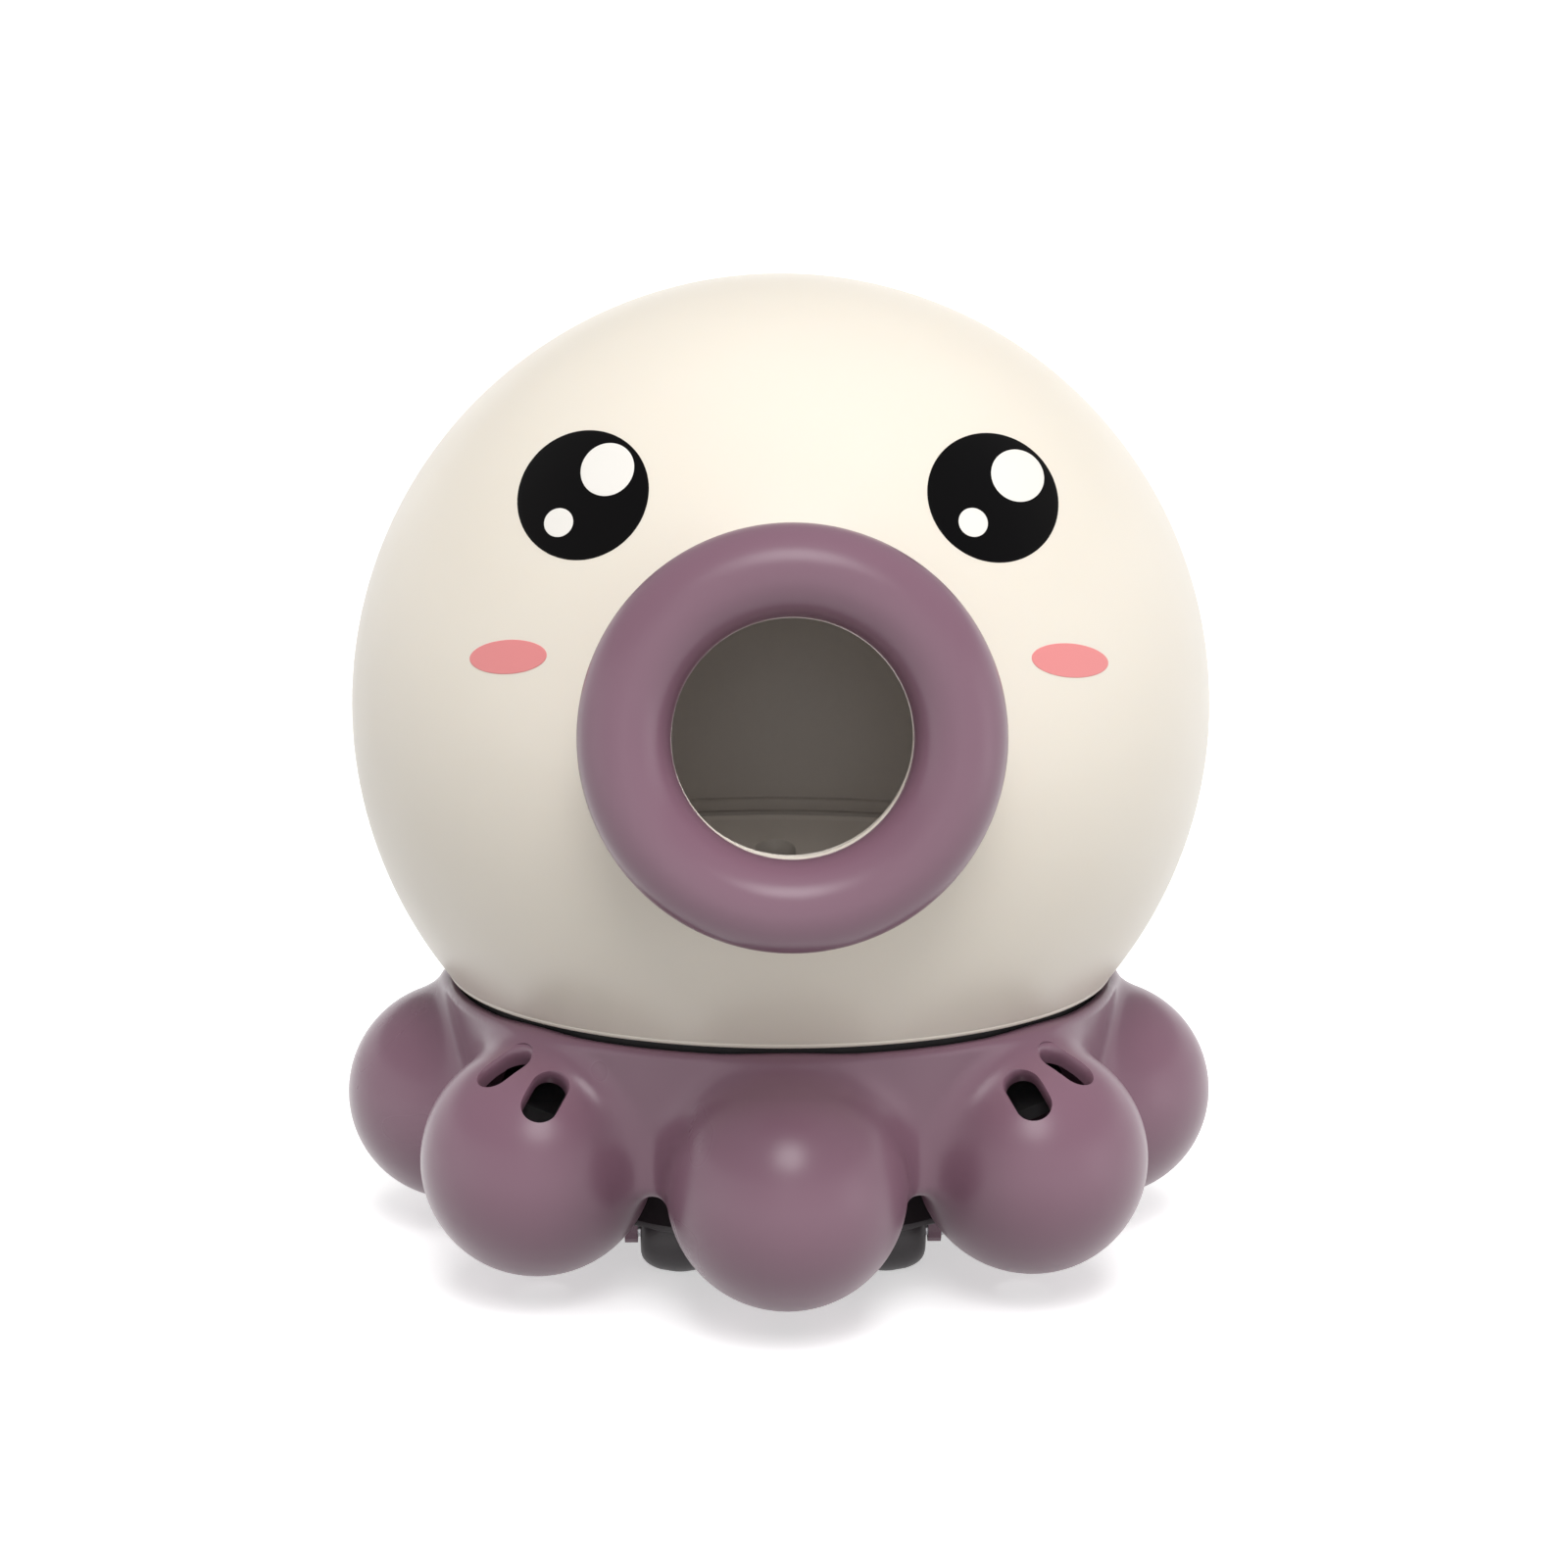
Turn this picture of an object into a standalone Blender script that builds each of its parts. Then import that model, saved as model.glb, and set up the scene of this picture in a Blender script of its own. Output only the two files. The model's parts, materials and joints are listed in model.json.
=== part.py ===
"""Octopus bubble toy: a round head with a ring mouth on a skirt of eight ball feet, rolling on four
small rollers, with the blower, the drive and the cells inside.

Lengths are in millimetres and angles in degrees; the helpers scale every mesh and every location to
metres.  The head's axis is vertical, the face looks along -Y and the rollers stand on z = 0.
"""
import math

import bmesh
import bpy
from mathutils import Matrix, Vector

MM = 0.001
GAP = 0.3                     # clearance between pieces that touch
WELD = 1e-7                   # merge distance in metres

# Head
HEAD_R = 65.0
HEAD_Z = 81.9                 # height of the head's centre above the floor
HEAD_WALL = 2.4
SEAM_DROP = 40.6              # the head is cut off this far below its centre
SPLIT_Y = 4.0                 # joint plane of the front and rear halves
TRAY_RIB_TOP = 22.75          # inner rib that holds the tray down, below the head's centre
TRAY_RIB_FOOT = 25.35
TRAY_RIB_DEPTH = 1.2

# Mouth
MOUTH_TILT = 5.7              # the mouth's axis rises by this angle
MOUTH_AXIAL = 73.5            # head centre to the ring's centre plane
RING_R = 21.45                # centreline radius of the ring
RING_TUBE = 5.95
COLLAR_R = 15.9
BORE_R = 14.9
COLLAR_END = 70.6
SLEEVE_IN = 16.3
SLEEVE_OUT = 19.6

# Face inlays: azimuth from the front towards +X, elevation, and the lean of the oval's long axis.
# Each outline is an oval as seen from FACE_FROM, a point in front of the head's centre.
FACE_FROM = (-9.1, -436.5, 65.3)
EYES = {"eye_left": (-30.6, 33.0, 41), "eye_right": (30.3, 32.8, -41)}
EYE_HALF = (9.3, 8.3)
HIGHLIGHTS = {
    "eye_left": {"large": (-27.9, 36.7), "small": (-33.1, 29.3)},
    "eye_right": {"large": (36.3, 35.6), "small": (25.9, 29.6)},
}
HIGHLIGHT_HALF = {"large": (3.8, 3.4), "small": (2.05, 1.85)}
CHEEKS = {"cheek_left": (-36.5, 12.5, 3), "cheek_right": (36.8, 12.0, -4)}
CHEEK_HALF = (5.2, 2.3)
FACE_DOME = HEAD_R + 0.1      # the inlays' fronts stand this far from the head's centre
EYE_BACK = 63.9
CHEEK_BACK = 64.45
HIGHLIGHT_BACK = 64.75

# Tray inside the head
TRAY_RIM_Z = HEAD_Z - TRAY_RIB_FOOT - GAP
TRAY_RIM_R = 55.8
TRAY_LIP = 1.5                # width of the tray's upright rim
TRAY_SLOPE = 0.33
TRAY_FLOOR_R = 30.0
TRAY_THICK = 2.0
TRAY_POST = (19.8, 19.8)
TRAY_POST_R = 3.0

# Base with its eight ball feet
FEET = 8
FOOT_RING_R = 50.4
FOOT_R = 16.9
FOOT_Z = 21.0
FOOT_WALL = 2.3
FOOT_HOLE_R = 4.0
SKIRT_TOP = 40.3
SKIRT_TOP_R = 52.0
SKIRT_FOOT = 18.9
SKIRT_FOOT_R = 49.4
SKIRT_WALL = 2.4
CAVITY_FLOOR = 24.0
POST_RING_R = 43.0
POST_R = 2.8
POST_TOP = 23.6
DIAGONALS = (45, 135, 225, 315)

# Cord slots of a front foot: centre and run as outward, towards the front foot and up, in ball radii
SLOTS = (((0.39, 0.54, 0.745), (-0.36, -0.11, 0.262)), ((0.42, 0.05, 0.905), (-0.42, 0.06, 0.19)))
SLOT_HALF_LEN = 4.1
SLOT_HALF_W = 2.3

# Deck, pan and battery bay
DECK_LOW = 24.3
DECK_TOP = 26.3
DECK_R = 46.4
PAN_LOW = 8.3
PAN_PLATE = 1.8
PAN_RIM_R = 36.3
PAN_WALL_R = 32.6
PAN_TOP = 24.0
CELL_R = 5.25
CELL_LEN = 44.5
CELL_Y = 5.45
CELL_Z = 16.2
BOX_X = 25.6
BOX_Y = 11.6
BOX_LOW = 10.5
BOX_TOP = 23.2
BOX_WALL = 0.75
DOOR_X = 25.4
DOOR_Y = 11.5
DOOR_TOP = 9.9
PAN_POST = (25.6, 14.8)
PAN_POST_R = 2.6
SCREW_HOLE_R = 1.2
SWITCH_X = -29.4
SWITCH_TRAVEL = 3.4

# Rollers and gear train
ROLLER_R = 6.4
ROLLER_X = 15.3
ROLLER_Y = 24.3
ROLLER_HALF = 5.6
AXLE_R = 1.2
ARM_IN = (7.0, 9.0)
ARM_OUT = (21.6, 23.6)
BRACKET_LOW = 6.5
PEG_X = (11.0, 19.6)
PEG_Y = 15.5
MODULE = 0.6
AXLE_TEETH = 16
SMALL_TEETH = 10
BIG_TEETH = 18
PINION_TEETH = 8
PINION_BACK = 6.0             # the pinion stands this far in front of the rear axle

# Blower and duct
BLOWER_Y = 4.0
BLOWER_R = 17.0
BLOWER_LOW = 26.6
BLOWER_TOP = 38.6
DUCT_END = 47.0
DUCT_TOP = 45.0
PORT_HALF_W = 3.45

# The origin lies under the middle of the whole toy, which the mouth ring makes longer at the front.
FRONT_REACH = (MOUTH_AXIAL * math.cos(math.radians(MOUTH_TILT)) + RING_TUBE
               + RING_R * math.sin(math.radians(MOUTH_TILT)))
REAR_REACH = FOOT_RING_R + FOOT_R
AXIS_Y = (FRONT_REACH - REAR_REACH) / 2


# ---------------------------------------------------------------- helpers

def clear_scene():
    for item in list(bpy.data.objects):
        bpy.data.objects.remove(item, do_unlink=True)


def make_material(name, colour, roughness, metallic=0.0):
    material = bpy.data.materials.new(name)
    material.use_nodes = True
    shader = material.node_tree.nodes["Principled BSDF"]
    shader.inputs["Base Color"].default_value = (*colour, 1.0)
    shader.inputs["Roughness"].default_value = roughness
    shader.inputs["Metallic"].default_value = metallic
    return material


def scaled(point):
    return Vector(point) * MM


def turn(x=0.0, y=0.0, z=0.0):
    """Rotation in degrees as Euler angles."""
    return (math.radians(x), math.radians(y), math.radians(z))


def add_object(name, mesh_bm, material=None, at=(0, 0, 0), rotation=(0, 0, 0)):
    """Turn a bmesh into a named object under the toy's axis empty; no material makes it a cutter."""
    bmesh.ops.remove_doubles(mesh_bm, verts=mesh_bm.verts, dist=WELD)
    bmesh.ops.recalc_face_normals(mesh_bm, faces=mesh_bm.faces)
    mesh = bpy.data.meshes.new(name)
    mesh_bm.to_mesh(mesh)
    mesh_bm.free()
    mesh.shade_smooth()
    mesh.set_sharp_from_angle(angle=math.radians(38))
    item = bpy.data.objects.new(name, mesh)
    bpy.context.scene.collection.objects.link(item)
    item.parent = bpy.data.objects["toy_axis"]
    item.location = scaled(at)
    item.rotation_euler = rotation
    if material is None:
        item.hide_render = True
        item.display_type = "WIRE"
    else:
        mesh.materials.append(material)
    return item


def boolean(item, operation, other):
    modifier = item.modifiers.new(operation.lower() + "_" + other.name, "BOOLEAN")
    modifier.operation = operation
    modifier.solver = "EXACT"
    modifier.object = other


def lathe(profile, segments, closed=True):
    """Solid of revolution about Z from (radius, height) points; an open profile starts and ends on
    the axis."""
    bm = bmesh.new()
    verts = [bm.verts.new(scaled((radius, 0, height))) for radius, height in profile]
    edges = [bm.edges.new(pair) for pair in zip(verts, verts[1:])]
    if closed:
        edges.append(bm.edges.new((verts[-1], verts[0])))
    bmesh.ops.spin(bm, geom=verts + edges, axis=(0, 0, 1), cent=(0, 0, 0), angle=math.tau,
                   steps=segments, use_merge=True)
    bmesh.ops.remove_doubles(bm, verts=bm.verts, dist=WELD)
    return bm


def drum(radius, low, high, segments=24):
    return lathe([(0, low), (radius, low), (radius, high), (0, high)], segments, closed=False)


def tube(outer, inner, low, high, segments=24):
    return lathe([(outer, low), (outer, high), (inner, high), (inner, low)], segments)


def prism(outline, low, high):
    """Extrude an outline of (x, y) points from one height to another."""
    bm = bmesh.new()
    base = [bm.verts.new(scaled((x, y, low))) for x, y in outline]
    face = bm.faces.new(base)
    extruded = bmesh.ops.extrude_face_region(bm, geom=[face])
    raised = [part for part in extruded["geom"] if isinstance(part, bmesh.types.BMVert)]
    bmesh.ops.translate(bm, verts=raised, vec=(0, 0, (high - low) * MM))
    return bm


def block(xs, ys, zs):
    outline = [(xs[0], ys[0]), (xs[1], ys[0]), (xs[1], ys[1]), (xs[0], ys[1])]
    return prism(outline, zs[0], zs[1])


def arc(centre, radius, start, end, steps):
    """Points on a circle in a plane, both ends included."""
    points = []
    for step in range(steps + 1):
        angle = math.radians(start + (end - start) * step / steps)
        points.append((centre[0] + radius * math.cos(angle), centre[1] + radius * math.sin(angle)))
    return points


def stadium(half_length, half_width, steps=3):
    """Slot outline with round ends, long along X."""
    offset = half_length - half_width
    right = arc((offset, 0), half_width, -90, 90, steps)
    left = arc((-offset, 0), half_width, 90, 270, steps)
    return right + left


def ball(radius, around, rings):
    bm = bmesh.new()
    bmesh.ops.create_uvsphere(bm, u_segments=around, v_segments=rings, radius=radius * MM)
    return bm


def gathered(pieces):
    """Put several bmeshes, each with its matrix, into one; the pieces stay separate solids."""
    result = bmesh.new()
    for bm, matrix in pieces:
        bm.transform(matrix)
        holder = bpy.data.meshes.new("holder")
        bm.to_mesh(holder)
        bm.free()
        result.from_mesh(holder)
        bpy.data.meshes.remove(holder)
    return result


def moved(x=0.0, y=0.0, z=0.0):
    return Matrix.Translation(scaled((x, y, z)))


def outward(azimuth, elevation):
    """Unit vector from the head's centre; azimuth runs from the front towards +X."""
    around = math.radians(azimuth)
    up = math.radians(elevation)
    return Vector((math.sin(around) * math.cos(up), -math.cos(around) * math.cos(up), math.sin(up)))


def face_directions(spot, half, share=1.0, spare=0.0, segments=24):
    """Unit vectors from the head's centre to an oval on the sphere; share shrinks the oval and spare
    widens it."""
    azimuth, elevation, lean = spot
    eye_point = Vector(FACE_FROM)
    middle = outward(azimuth, elevation) * HEAD_R
    sight = (middle - eye_point).normalized()
    side = sight.cross(Vector((0, 0, 1))).normalized()
    up = side.cross(sight)
    lean = math.radians(lean)
    long_way = side * math.cos(lean) + up * math.sin(lean)
    short_way = up * math.cos(lean) - side * math.sin(lean)
    directions = []
    for step in range(segments):
        angle = math.tau * step / segments
        offset = long_way * (half[0] + spare) * math.cos(angle)
        offset += short_way * (half[1] + spare) * math.sin(angle)
        ray = (middle + offset * share - eye_point).normalized()
        along = -eye_point.dot(ray)
        reach = along - math.sqrt(along ** 2 - eye_point.length_squared + HEAD_R ** 2)
        directions.append((eye_point + ray * reach).normalized())
    return directions


def face_inlay(spot, half, back, front, spare=0.0, segments=24, rings=2):
    """Oval inlay about the head's centre whose back and front both follow the sphere."""
    bm = bmesh.new()
    shares = [ring / rings for ring in range(1, rings + 1)]
    ovals = [face_directions(spot, half, share, spare, segments) for share in shares]
    layers = [(front, oval) for oval in ovals] + [(back, oval) for oval in reversed(ovals)]
    loops = [[bm.verts.new(scaled(way * radius)) for way in oval] for radius, oval in layers]
    middle = outward(spot[0], spot[1])
    centres = (bm.verts.new(scaled(middle * front)), bm.verts.new(scaled(middle * back)))
    for step in range(segments):
        after = (step + 1) % segments
        bm.faces.new((centres[0], loops[0][step], loops[0][after]))
        bm.faces.new((centres[1], loops[-1][after], loops[-1][step]))
        for inner, outer in zip(loops, loops[1:]):
            bm.faces.new((inner[step], outer[step], outer[after], inner[after]))
    bmesh.ops.triangulate(bm, faces=bm.faces[:])
    return bm


def gear(teeth, width, bore, phase):
    """Stub-tooth spur gear about Z, centred on its width; phase turns a tooth to that angle."""
    pitch_r = MODULE * teeth / 2
    root_r = pitch_r - 0.95 * MODULE
    tip_r = pitch_r + 0.72 * MODULE
    step = 360 / teeth
    outline = []
    for tooth in range(teeth):
        middle = phase + tooth * step
        for offset, radius in ((-0.30, root_r), (-0.12, tip_r), (0.12, tip_r), (0.30, root_r)):
            angle = math.radians(middle + offset * step)
            outline.append((radius * math.cos(angle), radius * math.sin(angle)))
    bm = bmesh.new()
    outer = [bm.verts.new(scaled((x, y, -width / 2))) for x, y in outline]
    inner = [bm.verts.new(scaled((x, y, -width / 2))) for x, y in arc((0, 0), bore, 0, 330, 11)]
    ring = [bm.edges.new((loop[i - 1], loop[i])) for loop in (outer, inner) for i in range(len(loop))]
    bmesh.ops.triangle_fill(bm, edges=ring, use_beauty=True)
    extruded = bmesh.ops.extrude_face_region(bm, geom=bm.faces[:])
    raised = [part for part in extruded["geom"] if isinstance(part, bmesh.types.BMVert)]
    bmesh.ops.translate(bm, verts=raised, vec=(0, 0, width * MM))
    return bm


def screw(head_r, head_h, shank_r, length, segments=8):
    """Screw pointing up: its head hangs below z = 0 and its shank rises to its length."""
    profile = [(0, -head_h), (head_r * 0.85, -head_h), (head_r, 0), (shank_r, 0),
               (shank_r, length - shank_r), (0, length)]
    return lathe(profile, segments, closed=False)


# ---------------------------------------------------------------- head

def sphere_height(radius, across):
    return math.sqrt(radius ** 2 - across ** 2)


def head_profile():
    """Wall section of the head from its inner top round the seam to its outer top, with the rib above
    the tray."""
    inner_r = HEAD_R - HEAD_WALL
    rib_top = -math.degrees(math.asin(TRAY_RIB_TOP / inner_r))
    rib_foot = -math.degrees(math.asin(TRAY_RIB_FOOT / inner_r))
    inner_start = -math.degrees(math.asin(SEAM_DROP / inner_r))
    start = -math.degrees(math.asin(SEAM_DROP / HEAD_R))
    upper = arc((0, 0), inner_r, 90, rib_top, 7)
    rib_r = sphere_height(inner_r, TRAY_RIB_TOP) - TRAY_RIB_DEPTH
    rib = [(rib_r, -TRAY_RIB_TOP), (rib_r, -TRAY_RIB_FOOT)]
    lower = arc((0, 0), inner_r, rib_foot, inner_start, 3)
    outer = arc((0, 0), HEAD_R, start, 90, 12)
    return [(0, inner_r)] + upper[1:] + rib + lower + outer[:-1] + [(0, HEAD_R)]


def half_space(front):
    reach = HEAD_R + 5
    if front:
        ys = (SPLIT_Y - GAP / 2, reach)
    else:
        ys = (-reach, SPLIT_Y + GAP / 2)
    return block((-reach, reach), ys, (-reach, reach))


def head_solid(name, material):
    """Closed shell turned about the head's axis, before the halves are parted."""
    return add_object(name, lathe(head_profile(), 44, closed=False), material, at=(0, 0, HEAD_Z))


def mouth_rotation():
    return turn(x=90 - MOUTH_TILT)


def make_head(cream):
    front = head_solid("head_front_shell", cream)
    boolean(front, "DIFFERENCE", add_object("cut_rear_half", half_space(True), at=(0, 0, HEAD_Z)))
    above = HEAD_R + 2
    pockets = [face_inlay(spot, EYE_HALF, EYE_BACK - GAP, above, GAP) for spot in EYES.values()]
    pockets += [face_inlay(spot, CHEEK_HALF, CHEEK_BACK - GAP, above, GAP, 20)
                for spot in CHEEKS.values()]
    boolean(front, "DIFFERENCE", add_object("cut_face_pockets",
                                            gathered([(bm, moved(z=HEAD_Z)) for bm in pockets])))
    collar = add_object("collar_blank", drum(COLLAR_R, 61.6, COLLAR_END, 28), at=(0, 0, HEAD_Z),
                        rotation=mouth_rotation())
    boolean(front, "UNION", collar)
    bore = add_object("cut_mouth", drum(BORE_R, 50, 80, 28), at=(0, 0, HEAD_Z),
                      rotation=mouth_rotation())
    boolean(front, "DIFFERENCE", bore)
    rear = head_solid("head_rear_shell", cream)
    boolean(rear, "DIFFERENCE", add_object("cut_front_half", half_space(False), at=(0, 0, HEAD_Z)))


def make_mouth_ring(purple):
    inner_meet = MOUTH_AXIAL - sphere_height(RING_TUBE, RING_R - SLEEVE_IN)
    outer_meet = MOUTH_AXIAL - sphere_height(RING_TUBE, RING_R - SLEEVE_OUT)
    start = math.degrees(math.atan2(inner_meet - MOUTH_AXIAL, SLEEVE_IN - RING_R))
    end = math.degrees(math.atan2(outer_meet - MOUTH_AXIAL, SLEEVE_OUT - RING_R)) - 360
    donut = arc((RING_R, MOUTH_AXIAL), RING_TUBE, start, end, 11)
    rear = [(SLEEVE_OUT, sphere_height(HEAD_R, SLEEVE_OUT) + GAP + 0.1),
            (SLEEVE_IN, sphere_height(HEAD_R, SLEEVE_IN) + GAP + 0.1)]
    add_object("mouth_ring", lathe(donut + rear, 32), purple, at=(0, 0, HEAD_Z),
               rotation=mouth_rotation())


def make_face(black, white, pink):
    centre = (0, 0, HEAD_Z)
    for name, spot in EYES.items():
        eye = add_object(name, face_inlay(spot, EYE_HALF, EYE_BACK, FACE_DOME), black, at=centre)
        pockets = []
        for size, place in HIGHLIGHTS[name].items():
            half = HIGHLIGHT_HALF[size]
            spot_there = (*place, spot[2])
            pocket = face_inlay(spot_there, half, HIGHLIGHT_BACK - GAP, HEAD_R + 2, GAP, 16, 1)
            pockets.append((pocket, Matrix()))
            inlay = face_inlay(spot_there, half, HIGHLIGHT_BACK, FACE_DOME, 0.0, 16, 1)
            add_object(name + "_highlight_" + size, inlay, white, at=centre)
        cutter = add_object("cut_" + name + "_spots", gathered(pockets), at=centre)
        boolean(eye, "DIFFERENCE", cutter)
    for name, spot in CHEEKS.items():
        pad = face_inlay(spot, CHEEK_HALF, CHEEK_BACK, FACE_DOME, 0.0, 20)
        add_object(name, pad, pink, at=centre)


# ---------------------------------------------------------------- tray inside the head


def tray_height(radius):
    """Top surface of the tray's slope."""
    return TRAY_RIM_Z - TRAY_THICK + 0.2 - (TRAY_RIM_R - TRAY_LIP - radius) * TRAY_SLOPE


def make_tray(taupe):
    floor = tray_height(TRAY_FLOOR_R)
    lip_r = TRAY_RIM_R - TRAY_LIP
    top = [(0, floor), (TRAY_FLOOR_R, floor), (lip_r, tray_height(lip_r)), (lip_r, TRAY_RIM_Z),
           (TRAY_RIM_R, TRAY_RIM_Z)]
    under = [(TRAY_RIM_R, TRAY_RIM_Z - 1.2), (TRAY_RIM_R - 1.9, TRAY_RIM_Z - TRAY_THICK - 1.6),
             (TRAY_FLOOR_R, floor - TRAY_THICK), (0, floor - TRAY_THICK)]
    tray = add_object("bubble_tray", lathe(top + under, 40, closed=False), taupe)
    posts = []
    holes = []
    for x, y in corner_points(TRAY_POST):
        posts.append((drum(TRAY_POST_R, DECK_TOP + GAP, floor - 1.0, 10), moved(x, y)))
        holes.append((drum(1.3, DECK_TOP - 1, DECK_TOP + 12, 8), moved(x, y)))
    boolean(tray, "UNION", add_object("tray_posts", gathered(posts)))
    boolean(tray, "DIFFERENCE", add_object("cut_tray_posts", gathered(holes)))
    slot_middle = DUCT_END - 1.8 - 5.6
    port = prism([(y, x) for x, y in stadium(5.6, PORT_HALF_W, 6)], floor - 10, TRAY_RIM_Z + 5)
    boolean(tray, "DIFFERENCE", add_object("cut_air_port", port, at=(0, slot_middle, 0)))


def corner_points(corner):
    return [(sx * corner[0], sy * corner[1]) for sx in (-1, 1) for sy in (-1, 1)]


# ---------------------------------------------------------------- base

def foot_angles():
    return [360 / FEET * index - 90 for index in range(FEET)]


def around_axis(radius, angle, z=0.0):
    angle = math.radians(angle)
    return moved(radius * math.cos(angle), radius * math.sin(angle), z)


def skirt_radius(height, wall=0.0):
    share = (height - SKIRT_FOOT) / (SKIRT_TOP - SKIRT_FOOT)
    return SKIRT_FOOT_R + share * (SKIRT_TOP_R - SKIRT_FOOT_R) - wall


def slot_matrix(side, centre, run):
    """Frame of a cord slot on a front foot: Z out of the ball, X along the slot."""
    out = Vector((side, -1, 0)).normalized()
    across = Vector((-side, -1, 0)).normalized()
    up = Vector((0, 0, 1))
    normal = (out * centre[0] + across * centre[1] + up * centre[2]).normalized()
    along = out * run[0] + across * run[1] + up * run[2]
    along = (along - normal * along.dot(normal)).normalized()
    turned = Matrix((along, normal.cross(along), normal)).transposed().to_4x4()
    foot = Vector((out.x * FOOT_RING_R, out.y * FOOT_RING_R, FOOT_Z))
    return Matrix.Translation(scaled(foot)) @ turned


def make_base(purple):
    edge = 1.4
    outer = [(SKIRT_FOOT_R, SKIRT_FOOT), (skirt_radius(SKIRT_TOP - edge), SKIRT_TOP - edge)]
    corner = arc((SKIRT_TOP_R - edge, SKIRT_TOP - edge), edge, 30, 90, 2)
    inner = [(skirt_radius(SKIRT_TOP, SKIRT_WALL), SKIRT_TOP),
             (skirt_radius(SKIRT_FOOT, SKIRT_WALL), SKIRT_FOOT)]
    base = add_object("tentacle_base", lathe(outer + corner + inner, 40), purple)
    feet = [(ball(FOOT_R, 14, 9), around_axis(FOOT_RING_R, angle, FOOT_Z))
            for angle in foot_angles()]
    boolean(base, "UNION", add_object("foot_balls", gathered(feet)))
    hollows = []
    for angle in foot_angles():
        hollows.append((ball(FOOT_R - FOOT_WALL, 10, 7), around_axis(FOOT_RING_R, angle, FOOT_Z)))
    boolean(base, "DIFFERENCE", add_object("cut_foot_hollows", gathered(hollows)))
    low_r = skirt_radius(CAVITY_FLOOR, SKIRT_WALL - 0.35)
    high_r = skirt_radius(SKIRT_TOP + 2, SKIRT_WALL - 0.35)
    room = lathe([(0, CAVITY_FLOOR), (low_r, CAVITY_FLOOR), (high_r, SKIRT_TOP + 2),
                  (0, SKIRT_TOP + 2)], 40, closed=False)
    boolean(base, "DIFFERENCE", add_object("cut_room", room))
    posts = [(drum(POST_R, 8.0, POST_TOP, 10), around_axis(POST_RING_R, angle))
             for angle in DIAGONALS]
    boolean(base, "UNION", add_object("deck_posts", gathered(posts)))
    holes = [(drum(SCREW_HOLE_R, 14, CAVITY_FLOOR + 1, 8), around_axis(POST_RING_R, angle))
             for angle in DIAGONALS]
    boolean(base, "DIFFERENCE", add_object("cut_deck_posts", gathered(holes)))
    twist = Matrix.Rotation(math.radians(7), 4, "Z")
    vents = [(drum(FOOT_HOLE_R, 0, 9, 10), around_axis(FOOT_RING_R, angle) @ twist)
             for angle in foot_angles()]
    boolean(base, "DIFFERENCE", add_object("cut_foot_holes", gathered(vents)))
    slots = []
    for side in (-1, 1):
        for centre, run in SLOTS:
            bar = prism(stadium(SLOT_HALF_LEN, SLOT_HALF_W), FOOT_R - 5, FOOT_R + 4)
            slots.append((bar, slot_matrix(side, centre, run)))
    boolean(base, "DIFFERENCE", add_object("cut_cord_slots", gathered(slots)))


def make_gasket(rubber):
    seam_z = HEAD_Z - SEAM_DROP
    add_object("seam_gasket", tube(49.2, 47.4, SKIRT_TOP - 1.6, seam_z - GAP, 40), rubber)


# ---------------------------------------------------------------- deck and pan

def make_deck(grey):
    deck = add_object("chassis_deck", drum(DECK_R, DECK_LOW, DECK_TOP, 40), grey)
    places = [around_axis(POST_RING_R, angle) for angle in DIAGONALS]
    places += [moved(x, y) for x, y in corner_points(TRAY_POST) + corner_points(PAN_POST)]
    holes = [(drum(SCREW_HOLE_R, DECK_LOW - 1, DECK_TOP + 1, 8), place) for place in places]
    boolean(deck, "DIFFERENCE", add_object("cut_deck_holes", gathered(holes)))


def roller_mesh(spare=0.0, bore=0.0, segments=18):
    """Barrel about Z; spare enlarges it all round, a bore makes it a ring."""
    end_r = 3.9 + spare
    half = ROLLER_HALF + spare * 0.8
    reach = ROLLER_R + spare
    points = []
    steps = 4
    for step in range(steps + 1):
        angle = math.pi * step / steps
        points.append((end_r + (reach - end_r) * math.sin(angle) ** 0.75, -half * math.cos(angle)))
    if bore:
        return lathe([(bore, -half)] + points + [(bore, half)], segments)
    return lathe([(0, -half)] + points + [(0, half)], segments, closed=False)


def along_x(x, y, z):
    return moved(x, y, z) @ Matrix.Rotation(math.radians(90), 4, "Y")


def pan_profile():
    top_plate = PAN_LOW + PAN_PLATE
    outer = [(PAN_RIM_R, PAN_LOW), (PAN_RIM_R, PAN_LOW + 1.2), (34.3, 12.2), (PAN_WALL_R, 17.0),
             (PAN_WALL_R, PAN_TOP)]
    inner = [(PAN_WALL_R - 1.8, PAN_TOP), (PAN_WALL_R - 1.8, 17.0), (32.5, 12.4),
             (33.4, top_plate)]
    return [(0, PAN_LOW)] + outer + inner + [(0, top_plate)]


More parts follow.
